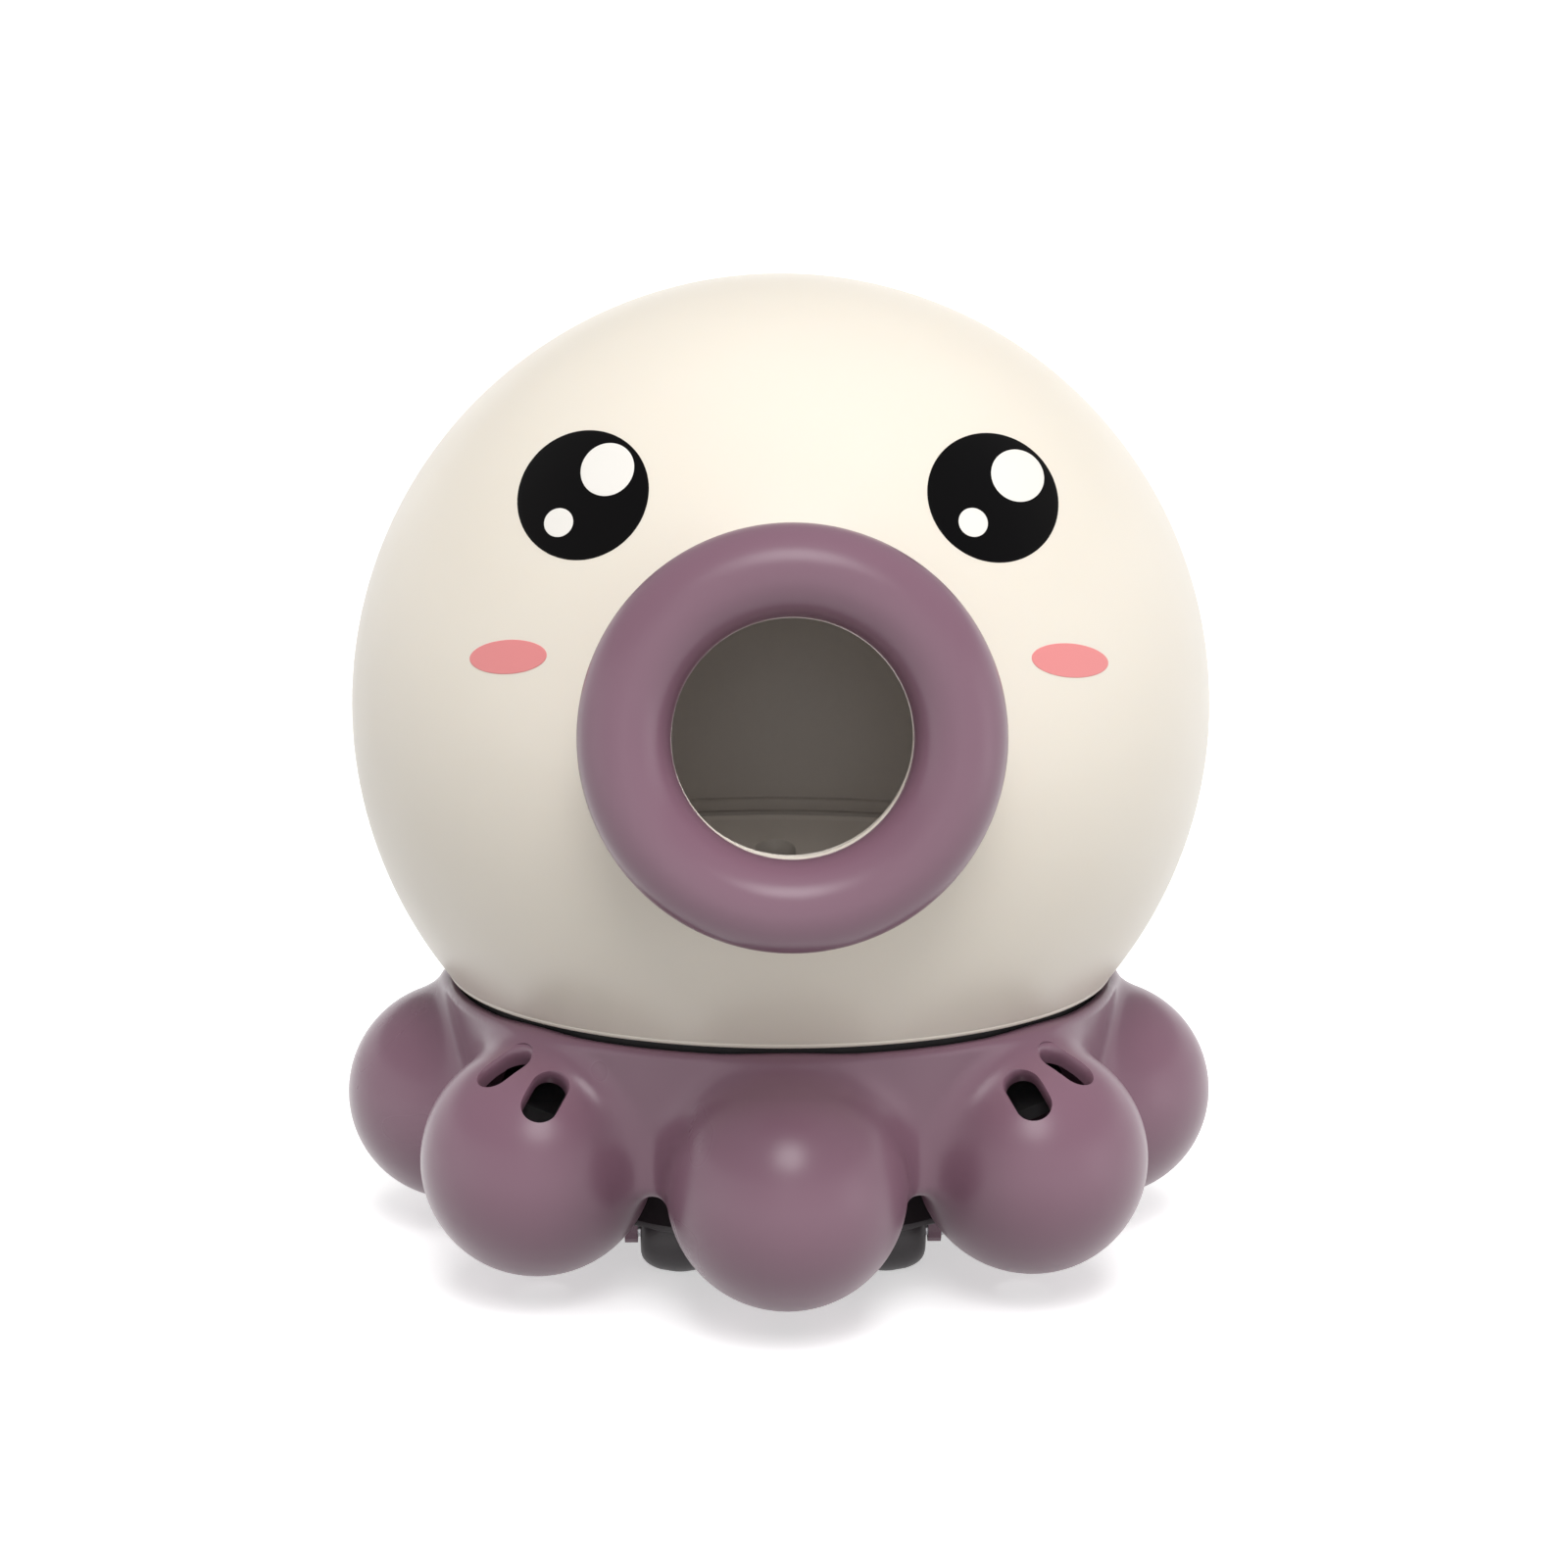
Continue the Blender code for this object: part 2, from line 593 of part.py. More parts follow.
def make_pan(grey):
    pan = add_object("bottom_pan", lathe(pan_profile(), 36, closed=False), grey)
    posts = [(drum(PAN_POST_R, PAN_LOW + 0.6, PAN_TOP, 10), moved(x, y))
             for x, y in corner_points(PAN_POST)]
    cradle = [(block(xs, (12.6, 23.6), (PAN_LOW + 0.6, 14.0)), Matrix())
              for xs in ((2.0, 4.0), (6.3, 8.3))]
    boolean(pan, "UNION", add_object("pan_posts", gathered(posts)))
    boolean(pan, "UNION", add_object("motor_cradle", gathered(cradle)))
    low = PAN_LOW - 2
    high = PAN_LOW + PAN_PLATE + 2
    bay_x = BOX_X + 0.2
    bay_y = BOX_Y + GAP
    bay = add_object("cut_battery_bay", block((-bay_x, bay_x), (-bay_y, bay_y), (low, high)))
    boolean(pan, "DIFFERENCE", bay)
    wheels = []
    for x, y in corner_points((ROLLER_X, ROLLER_Y)):
        wheels.append((roller_mesh(spare=0.8, segments=14), along_x(x, y, ROLLER_R)))
    boolean(pan, "DIFFERENCE", add_object("cut_roller_wells", gathered(wheels)))
    openings = [
        (block((-7.3, -0.9), (ROLLER_Y - 6.4, ROLLER_Y + 6.4), (low, high)), Matrix()),
        (block((SWITCH_X - 1.6, SWITCH_X + 1.6), (-4.2, 4.2), (low, high)), Matrix()),
    ]
    boolean(pan, "DIFFERENCE", add_object("cut_pan_windows", gathered(openings)))
    bores = []
    for x, y in corner_points(PAN_POST):
        bores.append((lathe([(0, 0), (1.9, 0), (1.9, 19), (1.2, 19), (1.2, 30), (0, 30)], 8,
                            closed=False), moved(x, y)))
    for x, y in bracket_peg_places():
        bores.append((drum(1.3, 5, 12, 8), moved(x, y)))
    boolean(pan, "DIFFERENCE", add_object("cut_pan_bores", gathered(bores)))


def make_switch(red, black):
    rest_y = -SWITCH_TRAVEL / 2
    slider = block((-1.2, 1.2), (-2.0, 2.0), (-2.0, 1.8))
    add_object("power_switch_slider", slider, red, at=(SWITCH_X, rest_y, PAN_LOW + 0.2))
    body = block((-1.8, 1.8), (-5.2, 5.2), (PAN_LOW + PAN_PLATE + GAP, 13.4))
    add_object("power_switch_body", body, black, at=(SWITCH_X, 0, 0))


def make_battery_bay(grey, shell, metal):
    outside = block((-BOX_X, BOX_X), (-BOX_Y, BOX_Y), (BOX_LOW, BOX_TOP))
    box = add_object("battery_box", outside, grey)
    inner_x = BOX_X - BOX_WALL
    inner_y = BOX_Y - BOX_WALL
    room = block((-inner_x, inner_x), (-inner_y, inner_y), (9, BOX_TOP - BOX_WALL))
    boolean(box, "DIFFERENCE", add_object("cut_battery_box", room))
    for name, y in (("battery_cell_front", -CELL_Y), ("battery_cell_rear", CELL_Y)):
        half = CELL_LEN / 2
        side = 1 if y > 0 else -1
        profile = [(0, -half), (CELL_R, -half), (CELL_R, half - 0.9), (1.9, half - 0.9), (1.9, half),
                   (0, half)]
        add_object(name, lathe(profile, 20, closed=False), shell, at=(0, y, CELL_Z),
                   rotation=turn(y=90 * side))
    for name, middle in (("battery_contact_left", -24.0), ("battery_contact_right", 24.0)):
        strip = block((middle - 0.3, middle + 0.3), (-9.5, 9.5), (12.4, 20.0))
        add_object(name, strip, metal)
    panel = block((-DOOR_X, DOOR_X), (-DOOR_Y, DOOR_Y), (PAN_LOW, DOOR_TOP))
    door = add_object("battery_door", panel, grey)
    seat = PAN_LOW + 0.8
    hole = lathe([(0, PAN_LOW - 1), (2.1, PAN_LOW - 1), (2.1, seat), (SCREW_HOLE_R, seat),
                  (SCREW_HOLE_R, 12), (0, 12)], 14, closed=False)
    boolean(door, "DIFFERENCE", add_object("cut_door_hole", hole))
    add_object("battery_door_screw", screw(1.8, 0.9, 0.9, 2.0), metal, at=(0, 0, seat - GAP + 0.1))


# ---------------------------------------------------------------- rollers and drive

def bracket_peg_places():
    """Two snap pegs on each roller bracket."""
    places = []
    for side in (-1, 1):
        for end in (-1, 1):
            for x in PEG_X:
                places.append((side * x, end * PEG_Y))
    return places


def make_bracket(name, side, end, purple):
    """U-shaped plate under the pan with two round-tipped arms that carry the axle."""
    high = PAN_LOW - GAP
    strip_y = (ROLLER_Y - 10.4, ROLLER_Y - 6.9)
    arm_y = (ROLLER_Y - 2.1, ROLLER_Y + 2.1)
    outline = [(ARM_IN[0], strip_y[0]), (ARM_OUT[1], strip_y[0]), (ARM_OUT[1], arm_y[1]),
               (ARM_OUT[0], arm_y[1]), (ARM_OUT[0], strip_y[1]), (ARM_IN[1], strip_y[1]),
               (ARM_IN[1], arm_y[1]), (ARM_IN[0], arm_y[1])]
    if side * end < 0:
        outline = outline[::-1]
    plate = prism([(side * x, end * y) for x, y in outline], BRACKET_LOW, high)
    bracket = add_object(name, plate, purple)
    arm_top = high - ROLLER_R - 0.4
    tip = arc((0, 0), 2.1, 180, 360, 6) + [(2.1, arm_top), (-2.1, arm_top)]
    arms = []
    for xs in (ARM_IN, ARM_OUT):
        middle = side * (xs[0] + xs[1]) / 2
        # The arm's outline lies in the YZ plane and is extruded along X.
        frame = moved(middle, end * ROLLER_Y, ROLLER_R) @ Matrix(((0, 0, 1, 0), (1, 0, 0, 0),
                                                                   (0, 1, 0, 0), (0, 0, 0, 1)))
        arms.append((prism(tip, -0.97, 0.97), frame))
    pegs = []
    for x, y in bracket_peg_places():
        if x * side > 0 and y * end > 0:
            pegs.append((drum(1.0, 7, 11.2, 10), moved(x, y)))
    boolean(bracket, "UNION", add_object(name + "_arms", gathered(arms)))
    boolean(bracket, "UNION", add_object(name + "_pegs", gathered(pegs)))
    axle_hole = gathered([(drum(AXLE_R + GAP, -30, 30, 14), along_x(0, end * ROLLER_Y, ROLLER_R))])
    boolean(bracket, "DIFFERENCE", add_object("cut_" + name, axle_hole))


def make_rollers(purple, rubber, steel):
    for end_name, end in (("front", -1), ("rear", 1)):
        for side_name, side in (("left", -1), ("right", 1)):
            name = end_name + "_roller_" + side_name
            add_object(name, roller_mesh(bore=AXLE_R + GAP), rubber,
                       at=(side * ROLLER_X, end * ROLLER_Y, ROLLER_R), rotation=turn(y=90))
            make_bracket("roller_bracket_" + end_name + "_" + side_name, side, end, purple)
        half = ARM_OUT[1] + 0.7
        rod = lathe([(0, -half), (AXLE_R * 0.7, -half), (AXLE_R, -half + 0.4), (AXLE_R, half - 0.4),
                     (AXLE_R * 0.7, half), (0, half)], 14, closed=False)
        add_object(end_name + "_axle", rod, steel, at=(0, end * ROLLER_Y, ROLLER_R),
                   rotation=turn(y=90))


def make_drive(plastic, steel, brass, grey):
    """Spur train: pinion on the gear motor, a stepped gear and the gear on the rear axle."""
    step_z = ROLLER_R + MODULE * (AXLE_TEETH + SMALL_TEETH) / 2
    reach = MODULE * (BIG_TEETH + PINION_TEETH) / 2
    rise = sphere_height(reach, PINION_BACK)
    pinion_y = ROLLER_Y - PINION_BACK
    pinion_z = step_z + rise
    # Seen along +X with the local X axis pointing down, an angle of 180 points straight up.
    lean = 180 + math.degrees(math.atan2(PINION_BACK, rise))
    axle_gear = gear(AXLE_TEETH, 2.0, AXLE_R + GAP, 180)
    add_object("axle_gear", axle_gear, plastic, at=(-5.3, ROLLER_Y, ROLLER_R), rotation=turn(y=90))
    small = gear(SMALL_TEETH, 2.6, 1.2, 180 / SMALL_TEETH)
    big = gear(BIG_TEETH, 2.0, 1.2, lean)
    stepped = add_object("stepped_gear", big, plastic, at=(-2.7, ROLLER_Y, step_z), rotation=turn(y=90))
    boolean(stepped, "UNION", add_object("stepped_gear_small", small, at=(-4.9, ROLLER_Y, step_z),
                                         rotation=turn(y=90)))
    gap_phase = lean + 180 + 180 / PINION_TEETH
    pinion = gear(PINION_TEETH, 2.0, 1.05, gap_phase)
    add_object("motor_pinion", pinion, brass, at=(-2.7, pinion_y, pinion_z), rotation=turn(y=90))
    add_object("motor_shaft", drum(0.75, -4.2, 0.3, 12), steel, at=(0, pinion_y, pinion_z),
               rotation=turn(y=90))
    add_object("gear_pin", drum(0.9, -9.0, 0.2, 12), steel, at=(0, ROLLER_Y, step_z),
               rotation=turn(y=90))
    frame = add_object("gearbox_frame", block((-8.6, 0.2), (21.9, 27.9), (10.4, 21.9)), grey)
    gap = block((-7.4, -1.0), (20, 30), (9, 20.9))
    boolean(frame, "DIFFERENCE", add_object("cut_gearbox_gap", gap))
    pin_hole = drum(1.2, -12, 4, 12)
    boolean(frame, "DIFFERENCE", add_object("cut_gearbox_pin", pin_hole, at=(0, ROLLER_Y, step_z),
                                            rotation=turn(y=90)))
    body = block((0.6, 16.4), (pinion_y - 5.9, pinion_y + 5.6), (pinion_z - 4.7, pinion_z + 4.7))
    add_object("drive_gear_motor", body, steel)


# ---------------------------------------------------------------- blower, duct and board

def make_blower(grey, blade, steel):
    wall = 1.3
    centre = (0, BLOWER_Y)
    section = [(0, BLOWER_LOW), (BLOWER_R, BLOWER_LOW), (BLOWER_R, BLOWER_TOP), (8.5, BLOWER_TOP),
               (8.5, BLOWER_TOP - wall), (BLOWER_R - wall, BLOWER_TOP - wall),
               (BLOWER_R - wall, BLOWER_LOW + wall), (0, BLOWER_LOW + wall)]
    housing = add_object("blower_housing", lathe(section, 28, closed=False), grey, at=(*centre, 0))
    outlet = block((-4.2, 4.2), (10, 22), (BLOWER_LOW + 2.4, BLOWER_TOP - 2.4))
    boolean(housing, "DIFFERENCE", add_object("cut_blower_outlet", outlet, at=(*centre, 0)))
    motor_low = BLOWER_LOW + wall + GAP
    motor = lathe([(0, motor_low), (5.6, motor_low), (5.6, 34.0), (0.75, 34.0), (0.75, 35.4),
                   (0, 35.4)], 20, closed=False)
    add_object("blower_motor", motor, steel, at=(*centre, 0))
    cup = lathe([(0, 36.9), (7.0, 36.9), (7.0, 29.4), (6.0, 29.4), (6.0, 34.4), (1.2, 34.4),
                 (1.2, 35.75), (0, 35.75)], 18, closed=False)
    impeller = add_object("blower_impeller", cup, blade, at=(*centre, 0))
    vanes = []
    for index in range(9):
        spin = Matrix.Rotation(math.tau * index / 9, 4, "Z")
        lean = Matrix.Rotation(math.radians(25), 4, "Z")
        vanes.append((block((-0.6, 6.6), (-0.5, 0.5), (29.6, 36.0)), spin @ moved(x=6.6) @ lean))
    boolean(impeller, "UNION", add_object("impeller_vanes", gathered(vanes), at=(*centre, 0)))


def make_duct(grey):
    """L-shaped box duct from the blower to the port in the tray, cut from its side outline."""
    start = BLOWER_Y + BLOWER_R + 0.6
    low, high = 28.4, 37.4
    front = DUCT_END - 13.6
    outline = [(start, low), (DUCT_END - 1.2, low), (DUCT_END - 1.2, DUCT_TOP), (front, DUCT_TOP),
               (front, high), (start, high)]
    wall = 1.2
    hollow = [(start - 3, low + wall), (DUCT_END - 1.2 - wall, low + wall),
              (DUCT_END - 1.2 - wall, DUCT_TOP + 3), (front + wall, DUCT_TOP + 3),
              (front + wall, high - wall), (start - 3, high - wall)]
    upright = Matrix(((0, 0, 1, 0), (1, 0, 0, 0), (0, 1, 0, 0), (0, 0, 0, 1)))
    duct = add_object("air_duct", gathered([(prism(outline, -5.4, 5.4), upright)]), grey)
    cut = gathered([(prism(hollow, -5.4 + wall, 5.4 - wall), upright)])
    boolean(duct, "DIFFERENCE", add_object("cut_air_duct", cut))


def make_board(green):
    low = DECK_TOP + 1.2
    board = add_object("circuit_board", block((-20, 20), (-38.4, -23.4), (low, low + 1.2)), green)
    parts = [(block((-4, 4), (-31, -24), (low + 0.8, low + 2.6)), Matrix()),
             (block((-15, -9), (-30, -26), (low + 0.8, low + 4.4)), Matrix()),
             (block((9, 16), (-34, -30), (low + 0.8, low + 5.0)), Matrix()),
             (drum(2.4, DECK_TOP + GAP, low + 0.4, 12), moved(-17, -34.3)),
             (drum(2.4, DECK_TOP + GAP, low + 0.4, 12), moved(17, -34.3)),
             (drum(2.4, DECK_TOP + GAP, low + 0.4, 12), moved(0, -26))]
    boolean(board, "UNION", add_object("board_components", gathered(parts)))


def make_screws(steel):
    for index, angle in enumerate((45, 135, 225, 315)):
        x = POST_RING_R * math.cos(math.radians(angle))
        y = POST_RING_R * math.sin(math.radians(angle))
        add_object(f"deck_screw_{index + 1}", screw(1.8, 1.2, 0.9, 9.0), steel,
                   at=(x, y, DECK_TOP + GAP), rotation=turn(x=180))
    for index, (x, y) in enumerate(corner_points(TRAY_POST)):
        add_object(f"tray_screw_{index + 1}", screw(1.8, 1.2, 0.9, 10.0), steel,
                   at=(x, y, DECK_LOW - GAP))
    for index, (x, y) in enumerate(corner_points(PAN_POST)):
        add_object(f"pan_screw_{index + 1}", screw(1.6, 1.2, 0.9, 7.0), steel, at=(x, y, 19 - GAP))


def main():
    clear_scene()
    axis = bpy.data.objects.new("toy_axis", None)
    bpy.context.scene.collection.objects.link(axis)
    axis.location = scaled((0, AXIS_Y, 0))
    cream = make_material("cream_abs", (0.86, 0.80, 0.70), 0.32)
    purple = make_material("purple_abs", (0.26, 0.15, 0.21), 0.38)
    black = make_material("eye_black", (0.01, 0.01, 0.01), 0.25)
    white = make_material("highlight_white", (0.92, 0.90, 0.86), 0.3)
    pink = make_material("cheek_pink", (0.84, 0.28, 0.28), 0.4)
    taupe = make_material("tray_taupe", (0.16, 0.14, 0.12), 0.5)
    dark = make_material("dark_grey_abs", (0.045, 0.038, 0.042), 0.45)
    rubber = make_material("black_rubber", (0.02, 0.02, 0.02), 0.7)
    grey = make_material("grey_plastic", (0.25, 0.25, 0.26), 0.5)
    steel = make_material("steel", (0.6, 0.6, 0.62), 0.3, 1.0)
    brass = make_material("brass", (0.72, 0.52, 0.22), 0.3, 1.0)
    acetal = make_material("white_acetal", (0.8, 0.8, 0.78), 0.4)
    green = make_material("board_green", (0.03, 0.16, 0.07), 0.4)
    wrap = make_material("cell_wrap", (0.1, 0.25, 0.45), 0.35)
    red = make_material("switch_red", (0.5, 0.05, 0.05), 0.4)
    make_head(cream)
    make_mouth_ring(purple)
    make_face(black, white, pink)
    make_tray(taupe)
    make_base(purple)
    make_gasket(rubber)
    make_deck(grey)
    make_pan(dark)
    make_switch(red, black)
    make_battery_bay(grey, wrap, steel)
    make_rollers(purple, dark, steel)
    make_drive(acetal, steel, brass, grey)
    make_blower(grey, acetal, steel)
    make_duct(grey)
    make_board(green)
    make_screws(steel)


main()
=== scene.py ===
"""Looks of the octopus bubble toy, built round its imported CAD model.

Lengths in this file are in millimetres and angles in degrees; the helpers scale to metres.  The toy's
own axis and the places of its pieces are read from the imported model's boxes.
"""
import json
import math

import bmesh
import bpy
import numpy as np
from mathutils import Matrix, Vector


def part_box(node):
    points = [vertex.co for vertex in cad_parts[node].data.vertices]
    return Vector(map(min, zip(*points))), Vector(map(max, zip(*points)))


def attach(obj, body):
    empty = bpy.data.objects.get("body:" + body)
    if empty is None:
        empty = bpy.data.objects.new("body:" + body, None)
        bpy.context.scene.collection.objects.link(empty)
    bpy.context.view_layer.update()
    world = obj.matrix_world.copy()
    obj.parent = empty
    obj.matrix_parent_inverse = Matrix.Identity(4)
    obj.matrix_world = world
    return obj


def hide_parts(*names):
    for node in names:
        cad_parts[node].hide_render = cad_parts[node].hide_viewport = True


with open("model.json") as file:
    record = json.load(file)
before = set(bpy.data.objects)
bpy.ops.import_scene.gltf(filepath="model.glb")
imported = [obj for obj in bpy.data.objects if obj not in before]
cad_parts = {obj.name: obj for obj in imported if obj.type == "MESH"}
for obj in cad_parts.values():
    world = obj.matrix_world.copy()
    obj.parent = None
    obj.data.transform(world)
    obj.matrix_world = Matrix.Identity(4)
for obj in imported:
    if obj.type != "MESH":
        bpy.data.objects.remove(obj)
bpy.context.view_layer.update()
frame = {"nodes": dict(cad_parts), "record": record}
MM = 0.001
BODY = "toy"
WELD = 1e-7                           # metres
FINE_STEPS = 176                      # segments round the head and the tray


# ---------------------------------------------------------------- measures from the model

def box_mm(node):
    low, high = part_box(node)
    return Vector(low) / MM, Vector(high) / MM


deck_low, deck_high = box_mm("chassis_deck")
AXIS_Y = (deck_low.y + deck_high.y) / 2
head_low, head_high = box_mm("head_front_shell")
HEAD_R = 65.0
HEAD_Z = head_high.z - HEAD_R
HEAD_WALL = 2.4
SEAM_DROP = HEAD_Z - head_low.z
rear_low = box_mm("head_rear_shell")[0]
SPLIT_Y = (head_high.y + rear_low.y) / 2 - AXIS_Y
SPLIT_GAP = rear_low.y - head_high.y

# Mouth: lengths along its axis are from the head's centre.
MOUTH_TILT = 5.0
MOUTH_AXIAL = 73.5
RING_R = 21.55
RING_TUBE = 6.05
COLLAR_R = 17.0
COLLAR_START = 61.2
COLLAR_END = 69.9
LIP_R = 15.65
LIP_FLARE = 0.25
BORE_R = 16.4
SLEEVE_IN = 17.4
SLEEVE_OUT = 19.6
SLEEVE_GAP = 0.4

# Face inlays: azimuth from the front towards +X, elevation, and the lean of the oval's long axis.
# Each outline is an oval as seen from FACE_FROM, a point in front of the head's centre.
FACE_FROM = (-9.1, -436.5, 65.3)
EYES = {"eye_left": (-30.56, 33.05, 41), "eye_right": (30.33, 32.76, -41)}
EYE_HALF = (9.27, 8.3)
HIGHLIGHTS = {
    "eye_left": {"large": (-27.93, 36.68), "small": (-33.12, 29.29)},
    "eye_right": {"large": (36.36, 35.58), "small": (25.87, 29.65)},
}
HIGHLIGHT_HALF = {"large": (3.8, 3.38), "small": (2.05, 1.87)}
CHEEKS = {"cheek_left": (-36.54, 12.48, 3), "cheek_right": (36.75, 12.02, -4)}
CHEEK_HALF = (5.18, 2.3)
INLAY_BACK = HEAD_R - 0.35
INLAY_SHARP = 60

FEET = 8
FOOT_RING_R = 50.4
FOOT_R = 16.9
FOOT_Z = 21.0
FOOT_WALL = 2.3
FOOT_HOLE_R = 4.0
SKIRT_TOP = box_mm("tentacle_base")[1].z
SKIRT_TOP_R = 52.0
SKIRT_FOOT = 18.9
SKIRT_FOOT_R = 49.4
SKIRT_WALL = 2.4
SKIRT_EDGE = 1.05
BLEND = 5.0                           # width of the fillets between the skirt and the feet
CAVITY_FLOOR = 24.0
POST_RING_R = 43.0
POST_TOP = 23.6
DIAGONALS = (45, 135, 225, 315)
SLOTS = (((0.39, 0.54, 0.745), (-0.36, -0.11, 0.262)), ((0.42, 0.05, 0.905), (-0.42, 0.06, 0.19)))
SLOT_HALF_LEN = 4.1
SLOT_HALF_W = 2.3
SLOT_FLARE = 0.9
SLOT_LIP = 1.9

TRAY_RIB_TOP = 25.0
TRAY_RIB_FOOT = 27.3
TRAY_RIB_DEPTH = 1.2
TRAY_RIM_Z = HEAD_Z - TRAY_RIB_FOOT - 0.3
TRAY_STEP = 0.5
TRAY_RIM_R = box_mm("bubble_tray")[1].x
TRAY_SLOPE = 0.33
TRAY_FLOOR_R = 30.0
TRAY_THICK = 2.0
PORT_HALF_W = 3.45
PORT_MIDDLE = 41.6
PORT_HALF_LEN = 5.6
TRAY_POST = (19.8, 19.8)

pan_low, pan_high = box_mm("bottom_pan")
PAN_LOW = pan_low.z
PAN_TOP = pan_high.z
PAN_RIM_R = pan_high.x
PAN_WALL_R = 32.6
PAN_PLATE = 1.8
PAN_POST = (25.6, 14.8)
DOOR_HALF = (25.8, 11.9)
GEAR_WINDOW = (-7.3, -0.9)
GEAR_WINDOW_HALF = 6.4
SWITCH_X = -29.4
SWITCH_HALF = (1.6, 4.2)
CRADLE_CHEEKS = ((2.0, 4.0), (6.3, 8.3))
CRADLE_LENGTH = (12.6, 23.6)
CRADLE_TOP = 14.0
BRACKET_PEGS = (11.0, 19.6)
BRACKET_PEG_Y = 15.5
ROLLER_R = 6.4
ROLLER_END_R = 2.9
ROLLER_X = 15.3
ROLLER_Y = 24.3
ROLLER_HALF = 5.6
WELL_GAP = 0.8
GROOVE_AT = 1.9
GROOVE_DEPTH = 0.18
AXLE_R = 1.2


# ---------------------------------------------------------------- mesh helpers

def scaled(point):
    return Vector(point) * MM


def lathe(profile, segments=144, closed=True):
    """Solid of revolution about Z; an open profile starts and ends on the axis."""
    bm = bmesh.new()
    verts = [bm.verts.new(scaled((radius, 0, height))) for radius, height in profile]
    edges = [bm.edges.new(pair) for pair in zip(verts, verts[1:])]
    if closed:
        edges.append(bm.edges.new((verts[-1], verts[0])))
    bmesh.ops.spin(bm, geom=verts + edges, axis=(0, 0, 1), cent=(0, 0, 0), angle=math.tau,
                   steps=segments, use_merge=True)
    bmesh.ops.remove_doubles(bm, verts=bm.verts, dist=WELD)
    return bm


def drum(radius, low, high, segments=48):
    return lathe([(0, low), (radius, low), (radius, high), (0, high)], segments, closed=False)


def prism(outline, low, high):
    bm = bmesh.new()
    face = bm.faces.new([bm.verts.new(scaled((x, y, low))) for x, y in outline])
    extruded = bmesh.ops.extrude_face_region(bm, geom=[face])
    raised = [part for part in extruded["geom"] if isinstance(part, bmesh.types.BMVert)]
    bmesh.ops.translate(bm, verts=raised, vec=(0, 0, (high - low) * MM))
    return bm


def block(xs, ys, zs):
    return prism([(xs[0], ys[0]), (xs[1], ys[0]), (xs[1], ys[1]), (xs[0], ys[1])], zs[0], zs[1])


def arc(centre, radius, start, end, steps):
    points = []
    for step in range(steps + 1):
        angle = math.radians(start + (end - start) * step / steps)
        points.append((centre[0] + radius * math.cos(angle), centre[1] + radius * math.sin(angle)))
    return points


def stadium(half_length, half_width, steps=16):
    offset = half_length - half_width
    return arc((offset, 0), half_width, -90, 90, steps) + arc((-offset, 0), half_width, 90, 270, steps)


def ball(radius, around=56, rings=28):
    bm = bmesh.new()
    bmesh.ops.create_uvsphere(bm, u_segments=around, v_segments=rings, radius=radius * MM)
    return bm


def stacked(loops):
    """Closed solid through outlines that all have the same number of points, capped at both ends."""
    bm = bmesh.new()
    rows = [[bm.verts.new(scaled(point)) for point in loop] for loop in loops]
    count = len(rows[0])
    for low, high in zip(rows, rows[1:]):
        for index in range(count):
            after = (index + 1) % count
            bm.faces.new((low[index], low[after], high[after], high[index]))
    bm.faces.new(rows[0])
    bm.faces.new(rows[-1])
    return bm


def moved(x=0.0, y=0.0, z=0.0):
    return Matrix.Translation(scaled((x, y, z)))


def about(axis, degrees):
    return Matrix.Rotation(math.radians(degrees), 4, axis)


def gathered(pieces):
    """Several bmeshes, each with its matrix, in one."""
    result = bmesh.new()
    for bm, matrix in pieces:
        bm.transform(matrix)
        holder = bpy.data.meshes.new("holder")
        bm.to_mesh(holder)
        bm.free()
        result.from_mesh(holder)
        bpy.data.meshes.remove(holder)
    return result


def mesh_object(name, bm):
    bmesh.ops.remove_doubles(bm, verts=bm.verts, dist=WELD)
    bmesh.ops.recalc_face_normals(bm, faces=bm.faces)
    mesh = bpy.data.meshes.new(name)
    bm.to_mesh(mesh)
    bm.free()
    item = bpy.data.objects.new(name, mesh)
    bpy.context.scene.collection.objects.link(item)
    return item


def bake(item):
    """Replace an object's mesh by its modifiers' result."""
    bpy.context.view_layer.update()
    graph = bpy.context.evaluated_depsgraph_get()
    result = bpy.data.meshes.new_from_object(item.evaluated_get(graph))
    old = item.data
    item.modifiers.clear()
    item.data = result
    bpy.data.meshes.remove(old)


def carve(item, operation, bm, solver="EXACT"):
    """Boolean with a throw-away tool; the item sits at the origin."""
    tool = mesh_object("tool", bm)
    modifier = item.modifiers.new("carve", "BOOLEAN")
    modifier.operation = operation
    modifier.solver = solver
    modifier.object = tool
    bake(item)
    bpy.data.objects.remove(tool, do_unlink=True)


def finish_piece(item, material, nodes, body=BODY, sharp=32, bevel=0.0):
    """Shade, paint and hang a piece on its body in place of CAD nodes."""
    if bevel:
        modifier = item.modifiers.new("edge", "BEVEL")
        modifier.width = bevel * MM
        modifier.segments = 3
        modifier.limit_method = "ANGLE"
        modifier.angle_limit = math.radians(35)
        bake(item)
    item.data.shade_smooth()
    item.data.set_sharp_from_angle(angle=math.radians(sharp))
    item.data.materials.clear()
    item.data.materials.append(material)
    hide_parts(*nodes)
    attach(item, body)


TOY = moved(y=AXIS_Y)
HEAD = moved(y=AXIS_Y, z=HEAD_Z)
MOUTH = HEAD @ about("X", 90 - MOUTH_TILT)


def place(bm, matrix):
    bm.transform(matrix)
    return bm


# ---------------------------------------------------------------- materials

